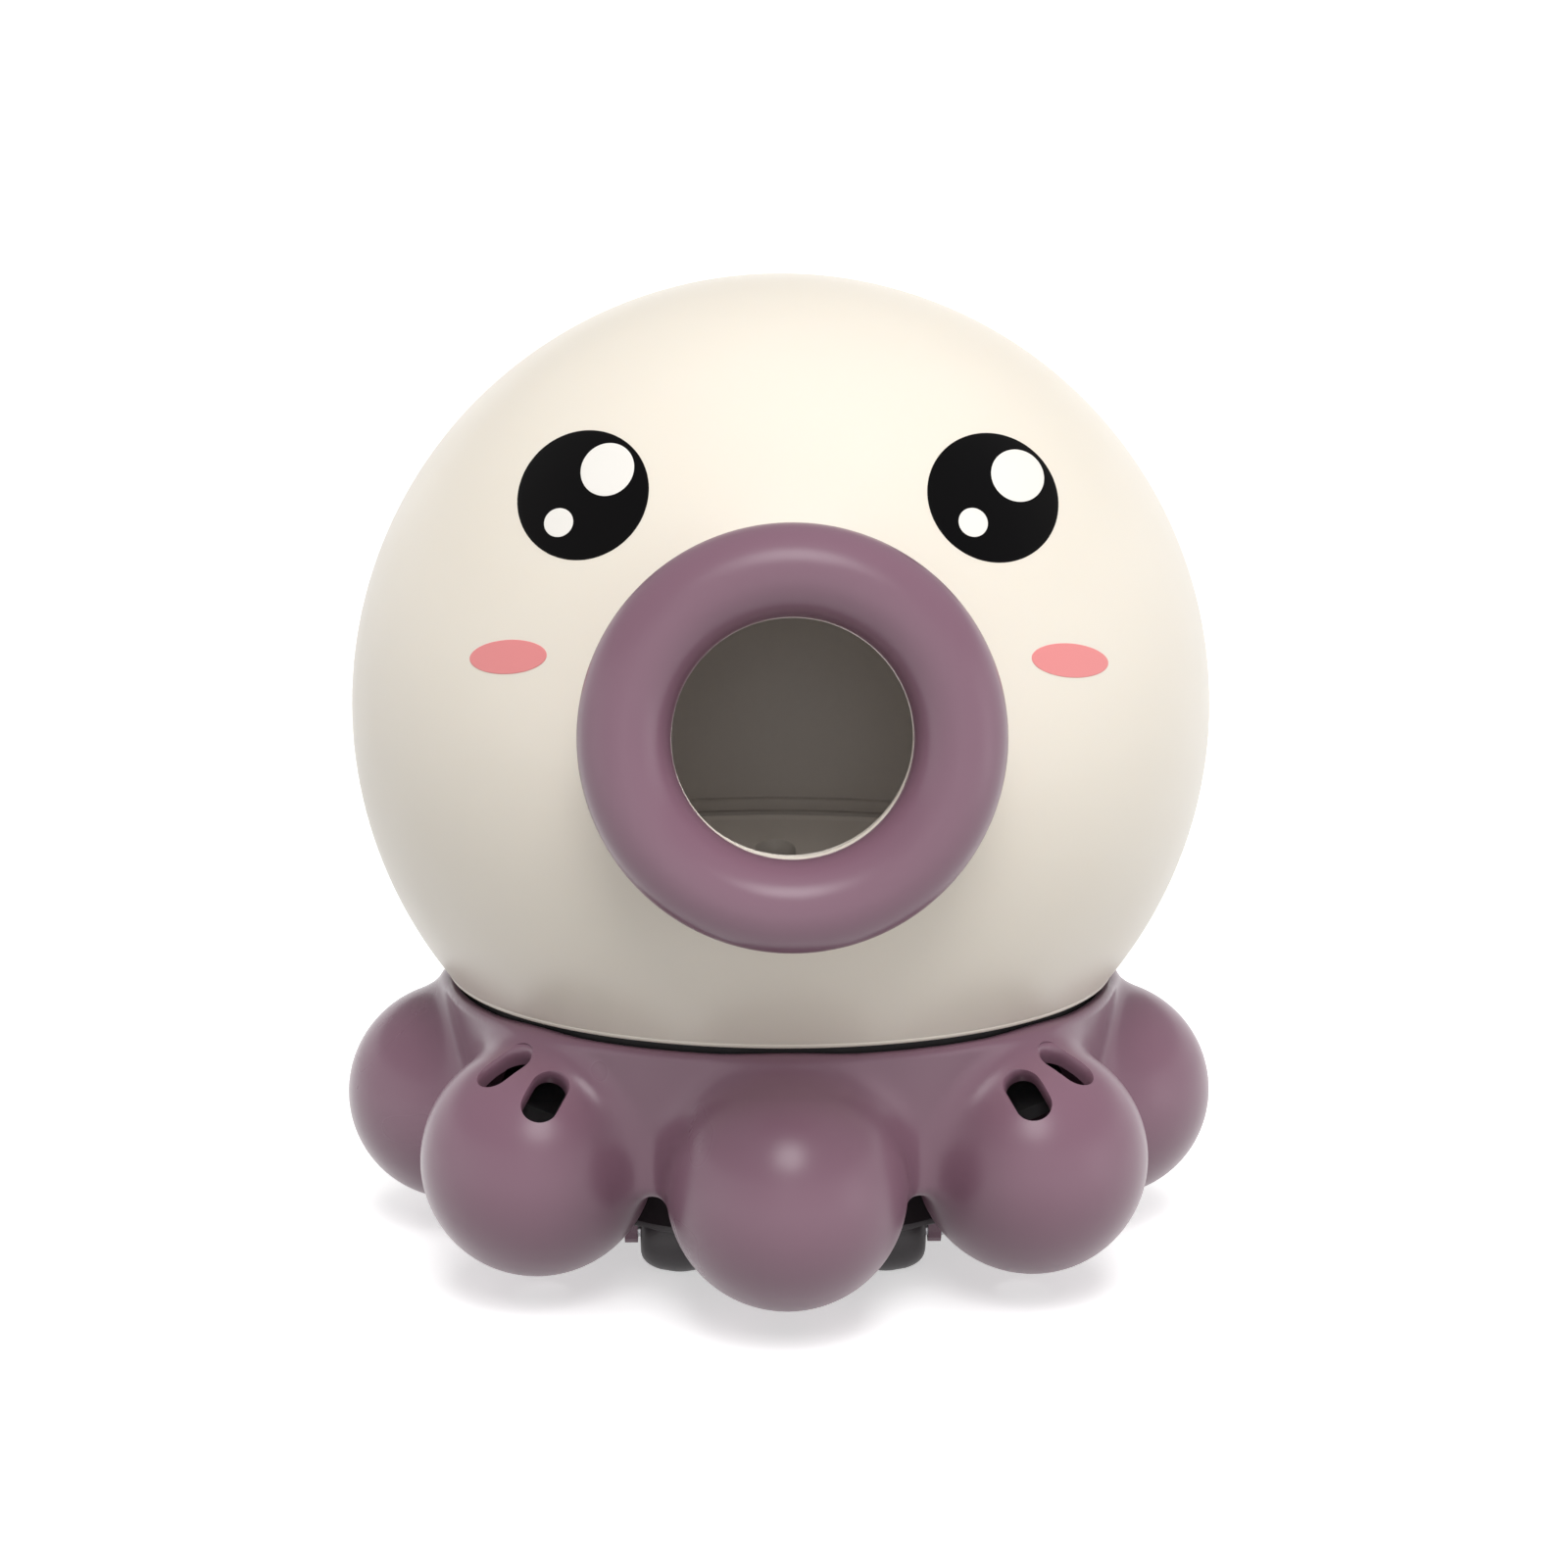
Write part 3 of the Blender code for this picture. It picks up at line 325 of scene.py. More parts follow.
def noise(tree, coordinates, scale, detail=4.0, roughness=0.55):
    node = tree.nodes.new("ShaderNodeTexNoise")
    node.inputs["Scale"].default_value = scale
    node.inputs["Detail"].default_value = detail
    node.inputs["Roughness"].default_value = roughness
    tree.links.new(coordinates, node.inputs["Vector"])
    return node.outputs["Fac"]


def mapped(tree, value, low, high, start=0.3, end=0.7):
    node = tree.nodes.new("ShaderNodeMapRange")
    node.inputs["From Min"].default_value = start
    node.inputs["From Max"].default_value = end
    node.inputs["To Min"].default_value = low
    node.inputs["To Max"].default_value = high
    tree.links.new(value, node.inputs["Value"])
    return node.outputs["Result"]


def tinted(tree, factor, first, second):
    node = tree.nodes.new("ShaderNodeMix")
    node.data_type = "RGBA"
    node.inputs["A"].default_value = (*first, 1.0)
    node.inputs["B"].default_value = (*second, 1.0)
    tree.links.new(factor, node.inputs["Factor"])
    return node.outputs["Result"]


def stretched(tree, coordinates, scale):
    node = tree.nodes.new("ShaderNodeMapping")
    node.inputs["Scale"].default_value = scale
    tree.links.new(coordinates, node.inputs["Vector"])
    return node.outputs["Vector"]


def surface(name, colour, shade, rough, rough_range=0.05, grain=900.0, grain_height=0.012,
            metallic=0.0, coat=0.0, subsurface=0.0, specular=0.5, drift=18.0, scuffs=True):
    """Moulded or machined surface: two-tone drift, fine grain, uneven gloss and faint scuffs."""
    material = bpy.data.materials.new(name)
    material.use_nodes = True
    tree = material.node_tree
    shader = tree.nodes["Principled BSDF"]
    shader.inputs["Metallic"].default_value = metallic
    shader.inputs["Coat Weight"].default_value = coat
    shader.inputs["Coat Roughness"].default_value = 0.2
    shader.inputs["Specular IOR Level"].default_value = specular
    if subsurface:
        shader.inputs["Subsurface Weight"].default_value = subsurface
        shader.inputs["Subsurface Radius"].default_value = (0.004, 0.003, 0.002)
        shader.inputs["Subsurface Scale"].default_value = 1.0
    coordinates = tree.nodes.new("ShaderNodeTexCoord").outputs["Object"]
    wide = noise(tree, coordinates, drift, 3.0)
    tree.links.new(tinted(tree, mapped(tree, wide, 0.0, 1.0), colour, shade),
                   shader.inputs["Base Color"])
    fine = noise(tree, coordinates, grain, 2.0)
    smear = noise(tree, stretched(tree, coordinates, (260.0, 260.0, 35.0)), 1.0, 6.0)
    gloss = tree.nodes.new("ShaderNodeMath")
    gloss.operation = "ADD"
    tree.links.new(mapped(tree, wide, rough - rough_range, rough + rough_range), gloss.inputs[0])
    spread = rough_range if scuffs else rough_range * 0.3
    tree.links.new(mapped(tree, smear, 0.0, spread, 0.55, 0.8), gloss.inputs[1])
    tree.links.new(gloss.outputs["Value"], shader.inputs["Roughness"])
    bump = tree.nodes.new("ShaderNodeBump")
    bump.inputs["Strength"].default_value = 0.35
    bump.inputs["Distance"].default_value = grain_height * MM
    tree.links.new(fine, bump.inputs["Height"])
    tree.links.new(bump.outputs["Normal"], shader.inputs["Normal"])
    return material


def make_materials():
    return {
        "cream_shell": surface("ivory_abs", (0.83, 0.765, 0.665), (0.80, 0.735, 0.635), 0.36,
                               subsurface=0.08),
        # Painted shade: the head's inner wall is coloured darker than the cream outside to stand in for
        # the dim inside of the head.
        "shaded_inner_wall": surface("inner_abs_painted_shade", (0.60, 0.565, 0.535), (0.585, 0.55, 0.52), 0.5),
        "purple_shell": surface("dusty_purple_abs", (0.222, 0.119, 0.164), (0.205, 0.108, 0.149), 0.3),
        "eye_black": surface("eye_ink", (0.0025, 0.0025, 0.003), (0.004, 0.0035, 0.0035), 0.34,
                             specular=0.08),
        "highlight_white": surface("highlight_ink", (0.86, 0.83, 0.78), (0.82, 0.79, 0.74), 0.32),
        "cheek_pink": surface("cheek_ink", (0.80, 0.27, 0.265), (0.76, 0.245, 0.245), 0.4),
        "tray_taupe": surface("tray_pp", (0.90, 0.86, 0.82), (0.88, 0.84, 0.80), 0.42),
        "dark_grey": surface("charcoal_abs", (0.045, 0.038, 0.041), (0.038, 0.033, 0.036), 0.42),
        "rubber_black": surface("seal_rubber", (0.016, 0.015, 0.016), (0.022, 0.02, 0.021), 0.7,
                                grain_height=0.03),
        "grey_plastic": surface("chassis_pp", (0.22, 0.22, 0.225), (0.19, 0.19, 0.195), 0.5,
                                grain_height=0.02),
        "steel": surface("plated_steel", (0.58, 0.58, 0.6), (0.5, 0.5, 0.52), 0.3, metallic=1.0,
                         grain=1400.0),
        "brass": surface("cut_brass", (0.72, 0.52, 0.22), (0.62, 0.44, 0.19), 0.32, metallic=1.0),
        "white_acetal": surface("acetal", (0.74, 0.74, 0.71), (0.7, 0.7, 0.67), 0.4,
                                subsurface=0.1),
        "board_green": surface("solder_mask", (0.02, 0.14, 0.06), (0.025, 0.17, 0.075), 0.35,
                               drift=90.0),
        "cell_wrap": surface("cell_film", (0.07, 0.2, 0.4), (0.08, 0.24, 0.46), 0.3, coat=0.4),
        "switch_red": surface("switch_abs", (0.45, 0.035, 0.03), (0.4, 0.03, 0.028), 0.38),
    }


# ---------------------------------------------------------------- head

def outward(azimuth, elevation):
    around = math.radians(azimuth)
    up = math.radians(elevation)
    return Vector((math.sin(around) * math.cos(up), -math.cos(around) * math.cos(up), math.sin(up)))


def sphere_height(radius, across):
    return math.sqrt(radius ** 2 - across ** 2)


def head_profile():
    """Wall section from the seam's rounded lip up the outside and down the inside to the lip."""
    inner_r = HEAD_R - HEAD_WALL
    lip = 0.7
    low = -SEAM_DROP
    start = -math.degrees(math.asin((SEAM_DROP - lip) / HEAD_R))
    outer = arc((0, 0), HEAD_R, start, 90, 72)
    edge = sphere_height(HEAD_R, SEAM_DROP - lip)
    corner = arc((edge - lip, low + lip), lip, -90, -8, 5)
    rib_top = -math.degrees(math.asin(TRAY_RIB_TOP / inner_r))
    rib_foot = -math.degrees(math.asin(TRAY_RIB_FOOT / inner_r))
    inner_start = -math.degrees(math.asin(SEAM_DROP / inner_r))
    upper = arc((0, 0), inner_r, 90, rib_top, 60)
    rib_r = sphere_height(inner_r, TRAY_RIB_TOP) - TRAY_RIB_DEPTH
    rib = [(rib_r + 0.3, -TRAY_RIB_TOP), (rib_r, -TRAY_RIB_TOP - 0.3), (rib_r, -TRAY_RIB_FOOT + 0.3),
           (rib_r + 0.3, -TRAY_RIB_FOOT)]
    lower = arc((0, 0), inner_r, rib_foot, inner_start, 12)
    outside = corner + outer
    inside = upper + rib + lower
    outside[-1] = (0.0, HEAD_R)
    inside[0] = (0.0, inner_r)
    return inside + outside


def paint_inner_shade(item, material):
    """Give the head's inner wall a darker, rougher material: the darker colour is painted shade for the
    dim inside of the head.
    """
    item.data.materials.append(material)
    centre = HEAD @ Vector((0, 0, 0))
    for face in item.data.polygons:
        if (face.center - centre).length < (HEAD_R - HEAD_WALL / 2) * MM:
            face.material_index = 1


def make_head(materials):
    reach = HEAD_R + 5
    for name, front in (("head_front", True), ("head_rear", False)):
        item = mesh_object(name, place(lathe(head_profile(), FINE_STEPS, closed=False), HEAD))
        if front:
            ys = (SPLIT_Y - SPLIT_GAP / 2, reach)
        else:
            ys = (-reach, SPLIT_Y + SPLIT_GAP / 2)
        carve(item, "DIFFERENCE", place(block((-reach, reach), ys, (-reach, reach)), HEAD))
        if front:
            flange = [(0, COLLAR_START), (COLLAR_R, COLLAR_START), (COLLAR_R, COLLAR_END - 1.3),
                      (COLLAR_R - 0.8, COLLAR_END), (0, COLLAR_END)]
            carve(item, "UNION", place(lathe(flange, 128, closed=False), MOUTH))
            bore = [(0, 50), (BORE_R, 50), (BORE_R, 60.5), (LIP_R, COLLAR_END - 0.5),
                    (LIP_R + LIP_FLARE, COLLAR_END + 0.05), (LIP_R + LIP_FLARE, 80), (0, 80)]
            carve(item, "DIFFERENCE", place(lathe(bore, 128, closed=False), MOUTH))
        finish_piece(item, materials["cream_shell"], [name + "_shell"], sharp=28)
        paint_inner_shade(item, materials["shaded_inner_wall"])


def make_mouth_ring(materials):
    inner_meet = MOUTH_AXIAL - sphere_height(RING_TUBE, RING_R - SLEEVE_IN)
    outer_meet = MOUTH_AXIAL - sphere_height(RING_TUBE, RING_R - SLEEVE_OUT)
    start = math.degrees(math.atan2(inner_meet - MOUTH_AXIAL, SLEEVE_IN - RING_R))
    end = math.degrees(math.atan2(outer_meet - MOUTH_AXIAL, SLEEVE_OUT - RING_R)) - 360
    donut = arc((RING_R, MOUTH_AXIAL), RING_TUBE, start, end, 64)
    outer_foot = sphere_height(HEAD_R, SLEEVE_OUT) + SLEEVE_GAP
    inner_foot = sphere_height(HEAD_R, SLEEVE_IN) + SLEEVE_GAP
    rear = [(SLEEVE_OUT, outer_foot + 0.4), (SLEEVE_OUT - 0.4, outer_foot), (SLEEVE_IN, inner_foot)]
    item = mesh_object("donut_mouth", place(lathe(donut + rear, 192), MOUTH))
    finish_piece(item, materials["purple_shell"], ["mouth_ring"])


def face_directions(spot, half, share, segments):
    """Unit vectors from the head's centre to an oval drawn on the sphere as seen from FACE_FROM."""
    azimuth, elevation, lean = spot
    eye_point = Vector(FACE_FROM)
    middle = outward(azimuth, elevation) * HEAD_R
    sight = (middle - eye_point).normalized()
    side = sight.cross(Vector((0, 0, 1))).normalized()
    up = side.cross(sight)
    lean = math.radians(lean)
    long_way = side * math.cos(lean) + up * math.sin(lean)
    short_way = up * math.cos(lean) - side * math.sin(lean)
    directions = []
    for step in range(segments):
        angle = math.tau * step / segments
        offset = (long_way * half[0] * math.cos(angle) + short_way * half[1] * math.sin(angle)) * share
        ray = (middle + offset - eye_point).normalized()
        along = -eye_point.dot(ray)
        reach = along - math.sqrt(along ** 2 - eye_point.length_squared + HEAD_R ** 2)
        directions.append((eye_point + ray * reach).normalized())
    return directions


def face_inlay(spot, half, back, front, rim=0.12, segments=96, rings=12):
    """Thin inlay whose front follows the head's sphere and rolls over at its rim."""
    shares = [ring / rings for ring in range(1, rings)] + [1 - rim / half[1], 1 - rim / half[1] / 3, 1]
    drops = [0.0] * len(shares)
    drops[-2:] = [rim * 0.15, rim * 0.6]
    loops = []
    for share, drop in zip(shares, drops):
        ways = face_directions(spot, half, share, segments)
        loops.append([way * (front - drop) for way in ways])
    rims = face_directions(spot, half, 1.0, segments)
    inner = face_directions(spot, half, 0.5, segments)
    backs = [[way * back for way in inner], [way * back for way in rims]]
    return stacked(backs + loops[::-1])


def add_inlay(name, inlay, materials, slot):
    item = mesh_object(name + "_disc", place(inlay, HEAD))
    finish_piece(item, materials[slot], [name], sharp=INLAY_SHARP)


def make_face(materials):
    for name, spot in EYES.items():
        add_inlay(name, face_inlay(spot, EYE_HALF, INLAY_BACK, HEAD_R + 0.07), materials, "eye_black")
        for size, highlight in HIGHLIGHTS[name].items():
            dot = face_inlay((*highlight, spot[2]), HIGHLIGHT_HALF[size], INLAY_BACK, HEAD_R + 0.1,
                             0.08, 72, 8)
            add_inlay(name + "_highlight_" + size, dot, materials, "highlight_white")
    for name, spot in CHEEKS.items():
        pad = face_inlay(spot, CHEEK_HALF, INLAY_BACK, HEAD_R + 0.05, 0.08)
        add_inlay(name, pad, materials, "cheek_pink")


# ---------------------------------------------------------------- tray

def tray_height(radius):
    return TRAY_RIM_Z - TRAY_STEP - (TRAY_RIM_R - 1.5 - radius) * TRAY_SLOPE


def corner_points(corner):
    return [(sx * corner[0], sy * corner[1]) for sx in (-1, 1) for sy in (-1, 1)]


def make_tray(materials):
    floor = tray_height(TRAY_FLOOR_R)
    lip = TRAY_RIM_R - 1.5
    top = [(0, floor), (TRAY_FLOOR_R - 3, floor), (TRAY_FLOOR_R, floor + 0.2),
           (TRAY_FLOOR_R + 3, tray_height(TRAY_FLOOR_R + 3) + 0.05), (lip - 0.8, tray_height(lip - 0.8)),
           (lip - 0.25, tray_height(lip) + 0.05), (lip, TRAY_RIM_Z - 0.15), (lip + 0.3, TRAY_RIM_Z),
           (TRAY_RIM_R - 1.1, TRAY_RIM_Z)]
    under = [(TRAY_RIM_R - 1.1, TRAY_RIM_Z - 1.2), (TRAY_RIM_R - 1.9, TRAY_RIM_Z - TRAY_THICK - 1.6),
             (TRAY_FLOOR_R, floor - TRAY_THICK), (0, floor - TRAY_THICK)]
    item = mesh_object("inner_tray", place(lathe(top + under, FINE_STEPS, closed=False), TOY))
    posts = [(drum(3.0, deck_high.z + 0.3, floor - 1.0), TOY @ moved(x, y))
             for x, y in corner_points(TRAY_POST)]
    carve(item, "UNION", gathered(posts))
    holes = [(drum(1.3, deck_high.z - 1, deck_high.z + 12), TOY @ moved(x, y))
             for x, y in corner_points(TRAY_POST)]
    carve(item, "DIFFERENCE", gathered(holes))
    outline = [(y, x) for x, y in stadium(PORT_HALF_LEN, PORT_HALF_W)]
    port = place(prism(outline, floor - 10, TRAY_RIM_Z + 5), TOY @ moved(y=PORT_MIDDLE))
    carve(item, "DIFFERENCE", port)
    finish_piece(item, materials["tray_taupe"], ["bubble_tray"], bevel=0.25)


# ---------------------------------------------------------------- base

def joined(first, second, width):
    """Smooth union of two distance fields."""
    share = np.maximum(width - np.abs(first - second), 0.0) / width
    return np.minimum(first, second) - share * share * width / 4


def base_distance(points):
    """Distance field of the skirt and the ball feet, in millimetres round the toy's axis."""
    x, y, z = points.T
    radius = np.hypot(x, y)
    middle = (SKIRT_TOP + SKIRT_FOOT) / 2
    slope = (SKIRT_TOP_R - SKIRT_FOOT_R) / (SKIRT_TOP - SKIRT_FOOT)
    wall_r = SKIRT_FOOT_R - SKIRT_WALL / 2 + (z - SKIRT_FOOT) * slope
    across = np.abs(radius - wall_r) - (SKIRT_WALL / 2 - SKIRT_EDGE)
    along = np.abs(z - middle) - ((SKIRT_TOP - SKIRT_FOOT) / 2 - SKIRT_EDGE)
    outside = np.hypot(np.maximum(across, 0), np.maximum(along, 0))
    field = outside + np.minimum(np.maximum(across, along), 0) - SKIRT_EDGE
    pitch = math.tau / FEET
    angle = np.arctan2(y, x)
    near = angle - pitch * np.round(angle / pitch)
    for turn in (near, np.abs(near) - pitch):
        side = radius * np.sin(turn)
        out = radius * np.cos(turn) - FOOT_RING_R
        foot = np.sqrt(out * out + side * side + (z - FOOT_Z) ** 2) - FOOT_R
        field = joined(field, foot, BLEND)
    return field


def settle(mesh, passes=5, step=0.02):
    """Move every vertex onto the base's smooth surface."""
    count = len(mesh.vertices)
    flat = np.empty(count * 3)
    mesh.vertices.foreach_get("co", flat)
    points = flat.reshape(-1, 3) / MM
    points[:, 1] -= AXIS_Y
    for _ in range(passes):
        value = base_distance(points)
        slopes = []
        for axis in range(3):
            ahead = points.copy()
            ahead[:, axis] += step
            slopes.append((base_distance(ahead) - value) / step)
        normal = np.stack(slopes, axis=1)
        normal /= np.maximum(np.linalg.norm(normal, axis=1, keepdims=True), 1e-6)
        points -= normal * value[:, None] * 0.9
    points[:, 1] += AXIS_Y
    mesh.vertices.foreach_set("co", (points * MM).ravel())
    mesh.update()


def around_axis(radius, angle, z=0.0):
    angle = math.radians(angle)
    return TOY @ moved(radius * math.cos(angle), radius * math.sin(angle), z)


def foot_angles():
    return [360 / FEET * index - 90 for index in range(FEET)]


def slot_matrix(side, centre, run):
    """Frame of a cord slot on a front foot: Z out of the ball, X along the slot."""
    out = Vector((side, -1, 0)).normalized()
    across = Vector((-side, -1, 0)).normalized()
    up = Vector((0, 0, 1))
    normal = (out * centre[0] + across * centre[1] + up * centre[2]).normalized()
    along = out * run[0] + across * run[1] + up * run[2]
    along = (along - normal * along.dot(normal)).normalized()
    turned = Matrix((along, normal.cross(along), normal)).transposed().to_4x4()
    return TOY @ Matrix.Translation(scaled(out * FOOT_RING_R + up * FOOT_Z)) @ turned


def flared_slot():
    """Slot cutter whose mouth opens in a rounded lip."""
    loops = []
    for height in (FOOT_R - 5, FOOT_R - SLOT_LIP):
        loops.append([(x, y, height) for x, y in stadium(SLOT_HALF_LEN, SLOT_HALF_W)])
    for step in range(1, 8):
        angle = math.radians(90 * step / 7)
        grow = SLOT_FLARE * (1 - math.cos(angle))
        height = FOOT_R - SLOT_LIP + 2.0 * math.sin(angle)
        loops.append([(x, y, height) for x, y in stadium(SLOT_HALF_LEN + grow, SLOT_HALF_W + grow)])
    outline = stadium(SLOT_HALF_LEN + SLOT_FLARE, SLOT_HALF_W + SLOT_FLARE)
    last = [(x, y, FOOT_R + 4) for x, y in outline]
    return stacked(loops + [last])


def make_base(materials):
    wall = SKIRT_WALL
    section = [(SKIRT_FOOT_R, SKIRT_FOOT), (SKIRT_TOP_R, SKIRT_TOP), (SKIRT_TOP_R - wall, SKIRT_TOP),
               (SKIRT_FOOT_R - wall, SKIRT_FOOT)]
    pieces = [(lathe(section, 144), TOY)]
    for angle in foot_angles():
        pieces.append((ball(FOOT_R), around_axis(FOOT_RING_R, angle, FOOT_Z)))
    item = mesh_object("ball_feet_base", gathered(pieces))
    for voxel in (1.0, 0.55):
        remesh = item.modifiers.new("remesh", "REMESH")
        remesh.mode = "VOXEL"
        remesh.voxel_size = voxel * MM
        relax = item.modifiers.new("relax", "SMOOTH")
        relax.factor = 0.5
        relax.iterations = 6
        bake(item)
        settle(item.data)
    hollows = [(ball(FOOT_R - FOOT_WALL, 40, 20), around_axis(FOOT_RING_R, angle, FOOT_Z))
               for angle in foot_angles()]
    carve(item, "DIFFERENCE", gathered(hollows), "MANIFOLD")
    slope = (SKIRT_TOP_R - SKIRT_FOOT_R) / (SKIRT_TOP - SKIRT_FOOT)
    low_r = SKIRT_FOOT_R + (CAVITY_FLOOR - SKIRT_FOOT) * slope - wall + 0.35
    high_r = SKIRT_TOP_R + 2 * slope - wall + 0.35
    room = lathe([(0, CAVITY_FLOOR), (low_r, CAVITY_FLOOR), (high_r, SKIRT_TOP + 2), (0, SKIRT_TOP + 2)],
                 144, closed=False)
    carve(item, "DIFFERENCE", place(room, TOY), "MANIFOLD")
    posts = [(drum(2.8, 8.0, POST_TOP), around_axis(POST_RING_R, angle)) for angle in DIAGONALS]
    carve(item, "UNION", gathered(posts), "MANIFOLD")
    bores = [(drum(1.2, 14, CAVITY_FLOOR + 1), around_axis(POST_RING_R, angle)) for angle in DIAGONALS]
    carve(item, "DIFFERENCE", gathered(bores), "MANIFOLD")
    lip = FOOT_Z - sphere_height(FOOT_R, FOOT_HOLE_R)
    hole = [(0, 0), (FOOT_HOLE_R + 0.5, 0), (FOOT_HOLE_R + 0.5, lip - 0.1),
            (FOOT_HOLE_R + 0.15, lip + 0.15), (FOOT_HOLE_R, lip + 0.5), (FOOT_HOLE_R, 9), (0, 9)]
    vents = [(lathe(hole, 64, closed=False), around_axis(FOOT_RING_R, angle)) for angle in foot_angles()]
    carve(item, "DIFFERENCE", gathered(vents), "MANIFOLD")
    slots = []
    for side in (-1, 1):
        for centre, run in SLOTS:
            slots.append((flared_slot(), slot_matrix(side, centre, run)))
    carve(item, "DIFFERENCE", gathered(slots), "MANIFOLD")
    finish_piece(item, materials["purple_shell"], ["tentacle_base"], sharp=40)


# ---------------------------------------------------------------- pan and rollers

def roller_profile(spare=0.0, steps=24):
    end_r = ROLLER_END_R + spare
    half = ROLLER_HALF + 0.3 + spare * 0.8
    reach = ROLLER_R + spare
    points = []
    for step in range(steps + 1):
        angle = math.pi * step / steps
        points.append((end_r + (reach - end_r) * math.sin(angle) ** 0.8, -half * math.cos(angle)))
    return points


def along_x(x, y, z):
    return TOY @ moved(x, y, z) @ about("Y", 90)


def make_pan(materials):
    plate = PAN_LOW + PAN_PLATE
    outer = [(PAN_RIM_R - 0.25, PAN_LOW), (PAN_RIM_R, PAN_LOW + 0.25), (PAN_RIM_R, PAN_LOW + 1.0),
             (PAN_RIM_R - 0.3, PAN_LOW + 1.3), (34.3, 12.2), (33.2, 14.4), (PAN_WALL_R, 17.0),
             (PAN_WALL_R, PAN_TOP)]
    inner = [(PAN_WALL_R - 1.8, PAN_TOP), (PAN_WALL_R - 1.8, 17.0), (32.5, 12.4), (33.4, plate)]
    profile = [(0, PAN_LOW)] + outer + inner + [(0, plate)]
    item = mesh_object("under_pan", place(lathe(profile, 160, closed=False), TOY))
    posts = [(drum(2.6, PAN_LOW + 0.6, PAN_TOP), TOY @ moved(x, y)) for x, y in corner_points(PAN_POST)]
    carve(item, "UNION", gathered(posts))
    cradle = [(block(xs, CRADLE_LENGTH, (PAN_LOW + 0.6, CRADLE_TOP)), TOY) for xs in CRADLE_CHEEKS]
    carve(item, "UNION", gathered(cradle))
    low = PAN_LOW - 2
    high = plate + 2
    door_x, door_y = DOOR_HALF
    carve(item, "DIFFERENCE", place(block((-door_x, door_x), (-door_y, door_y), (low, high)), TOY))
    wells = []
    for x, y in corner_points((ROLLER_X, ROLLER_Y)):
        half = ROLLER_HALF + WELL_GAP * 0.8
        body = [(0, -half)] + roller_profile(WELL_GAP) + [(0, half)]
        wells.append((lathe(body, 72, closed=False), along_x(x, y, ROLLER_R)))
    carve(item, "DIFFERENCE", gathered(wells))
    gear_ys = (ROLLER_Y - GEAR_WINDOW_HALF, ROLLER_Y + GEAR_WINDOW_HALF)
    switch_xs = (SWITCH_X - SWITCH_HALF[0], SWITCH_X + SWITCH_HALF[0])
    switch_ys = (-SWITCH_HALF[1], SWITCH_HALF[1])
    windows = [(block(GEAR_WINDOW, gear_ys, (low, high)), TOY),
               (block(switch_xs, switch_ys, (low, high)), TOY)]
    carve(item, "DIFFERENCE", gathered(windows))
    bores = []
    screw_bore = [(0, 0), (1.9, 0), (1.9, 19), (1.2, 19), (1.2, 30), (0, 30)]
    for x, y in corner_points(PAN_POST):
        bores.append((lathe(screw_bore, 40, closed=False), TOY @ moved(x, y)))
    for side in (-1, 1):
        for end in (-1, 1):
            for x in BRACKET_PEGS:
                bores.append((drum(1.3, 5, 12), TOY @ moved(side * x, end * BRACKET_PEG_Y)))
    carve(item, "DIFFERENCE", gathered(bores))
    finish_piece(item, materials["dark_grey"], ["bottom_pan"], bevel=0.2)


def make_rollers(materials):
    bodies = {"front_roller_left": "front_left_wheel", "front_roller_right": "front_right_wheel",
              "rear_roller_left": "rear_wheelset", "rear_roller_right": "rear_wheelset"}
    bore = AXLE_R + 0.3
    for name, body in bodies.items():
        low, high = box_mm(name)
        centre = (low + high) / 2
        tread = []
        for radius, height in roller_profile():
            groove = GROOVE_DEPTH * max(0.0, 1 - abs(abs(height) - GROOVE_AT) / 0.5)
            tread.append((radius - groove, height))
        section = [(bore, -ROLLER_HALF)] + tread + [(bore, ROLLER_HALF)]
        bm = place(lathe(section, 96), Matrix.Translation(centre * MM) @ about("Y", 90))
        item = mesh_object(name + "_barrel", bm)
        finish_piece(item, materials["dark_grey"], [name], body=body, sharp=40)


# ---------------------------------------------------------------- CAD nodes that stay

ROUNDED = ("battery_door", "roller_bracket", "power_switch", "gearbox_frame", "drive_gear_motor",
           "circuit_board", "air_duct", "battery_box", "blower_housing", "chassis_deck", "screw")


def dress_nodes(materials):
    """Paint every CAD node by its slot and ease the edges of the moulded ones."""
    slots = {entry["node"]: entry["material_slot"] for entry in frame["record"]["subparts"]}
    for name, item in frame["nodes"].items():
        material = materials[slots[name]]
        if not item.material_slots:
            item.data.materials.append(material)
        for entry in item.material_slots:
            entry.material = material
        if any(word in name for word in ROUNDED):
            modifier = item.modifiers.new("edge", "BEVEL")
            modifier.width = 0.22 * MM
            modifier.segments = 2
            modifier.limit_method = "ANGLE"
            modifier.angle_limit = math.radians(40)


# ---------------------------------------------------------------- studio

STUDIO_R = 3000.0
WALL_HEIGHT = 1150.0
FLOOR_GLOW = 0.5
WALL_GLOW = 0.8
WORLD_GLOW = 0.4
OVERHEAD_AT = (8, 68)                 # azimuth and elevation
OVERHEAD_POWER = 1.6
OVERHEAD_SPREAD = 34
SOFTBOX_AWAY = 900
# Azimuth, elevation, size and power; 0 is in front of the face and 90 on its right.
SOFTBOXES = {
    "front_softbox": (2, 42, 400, 2.5),
    "mouth_softbox": (-2, 9, 160, 0.35),
    "right_softbox": (62, 0, 420, 2.3),
    "left_softbox": (-66, 0, 420, 0.8),
    "back_softbox": (170, 25, 420, 1.4),
}
MIRRORED = "front_softbox"            # the one light that glossy surfaces mirror
# A faint lamp inside the head stands in for the daylight that its thin wall lets through.
SHELL_LAMP_AT = (0, 22, -12)
SHELL_LAMP_POWER = 0.0035
SHELL_LAMP_R = 4.0
SHELL_LAMP_TINT = (1.0, 0.93, 0.86)


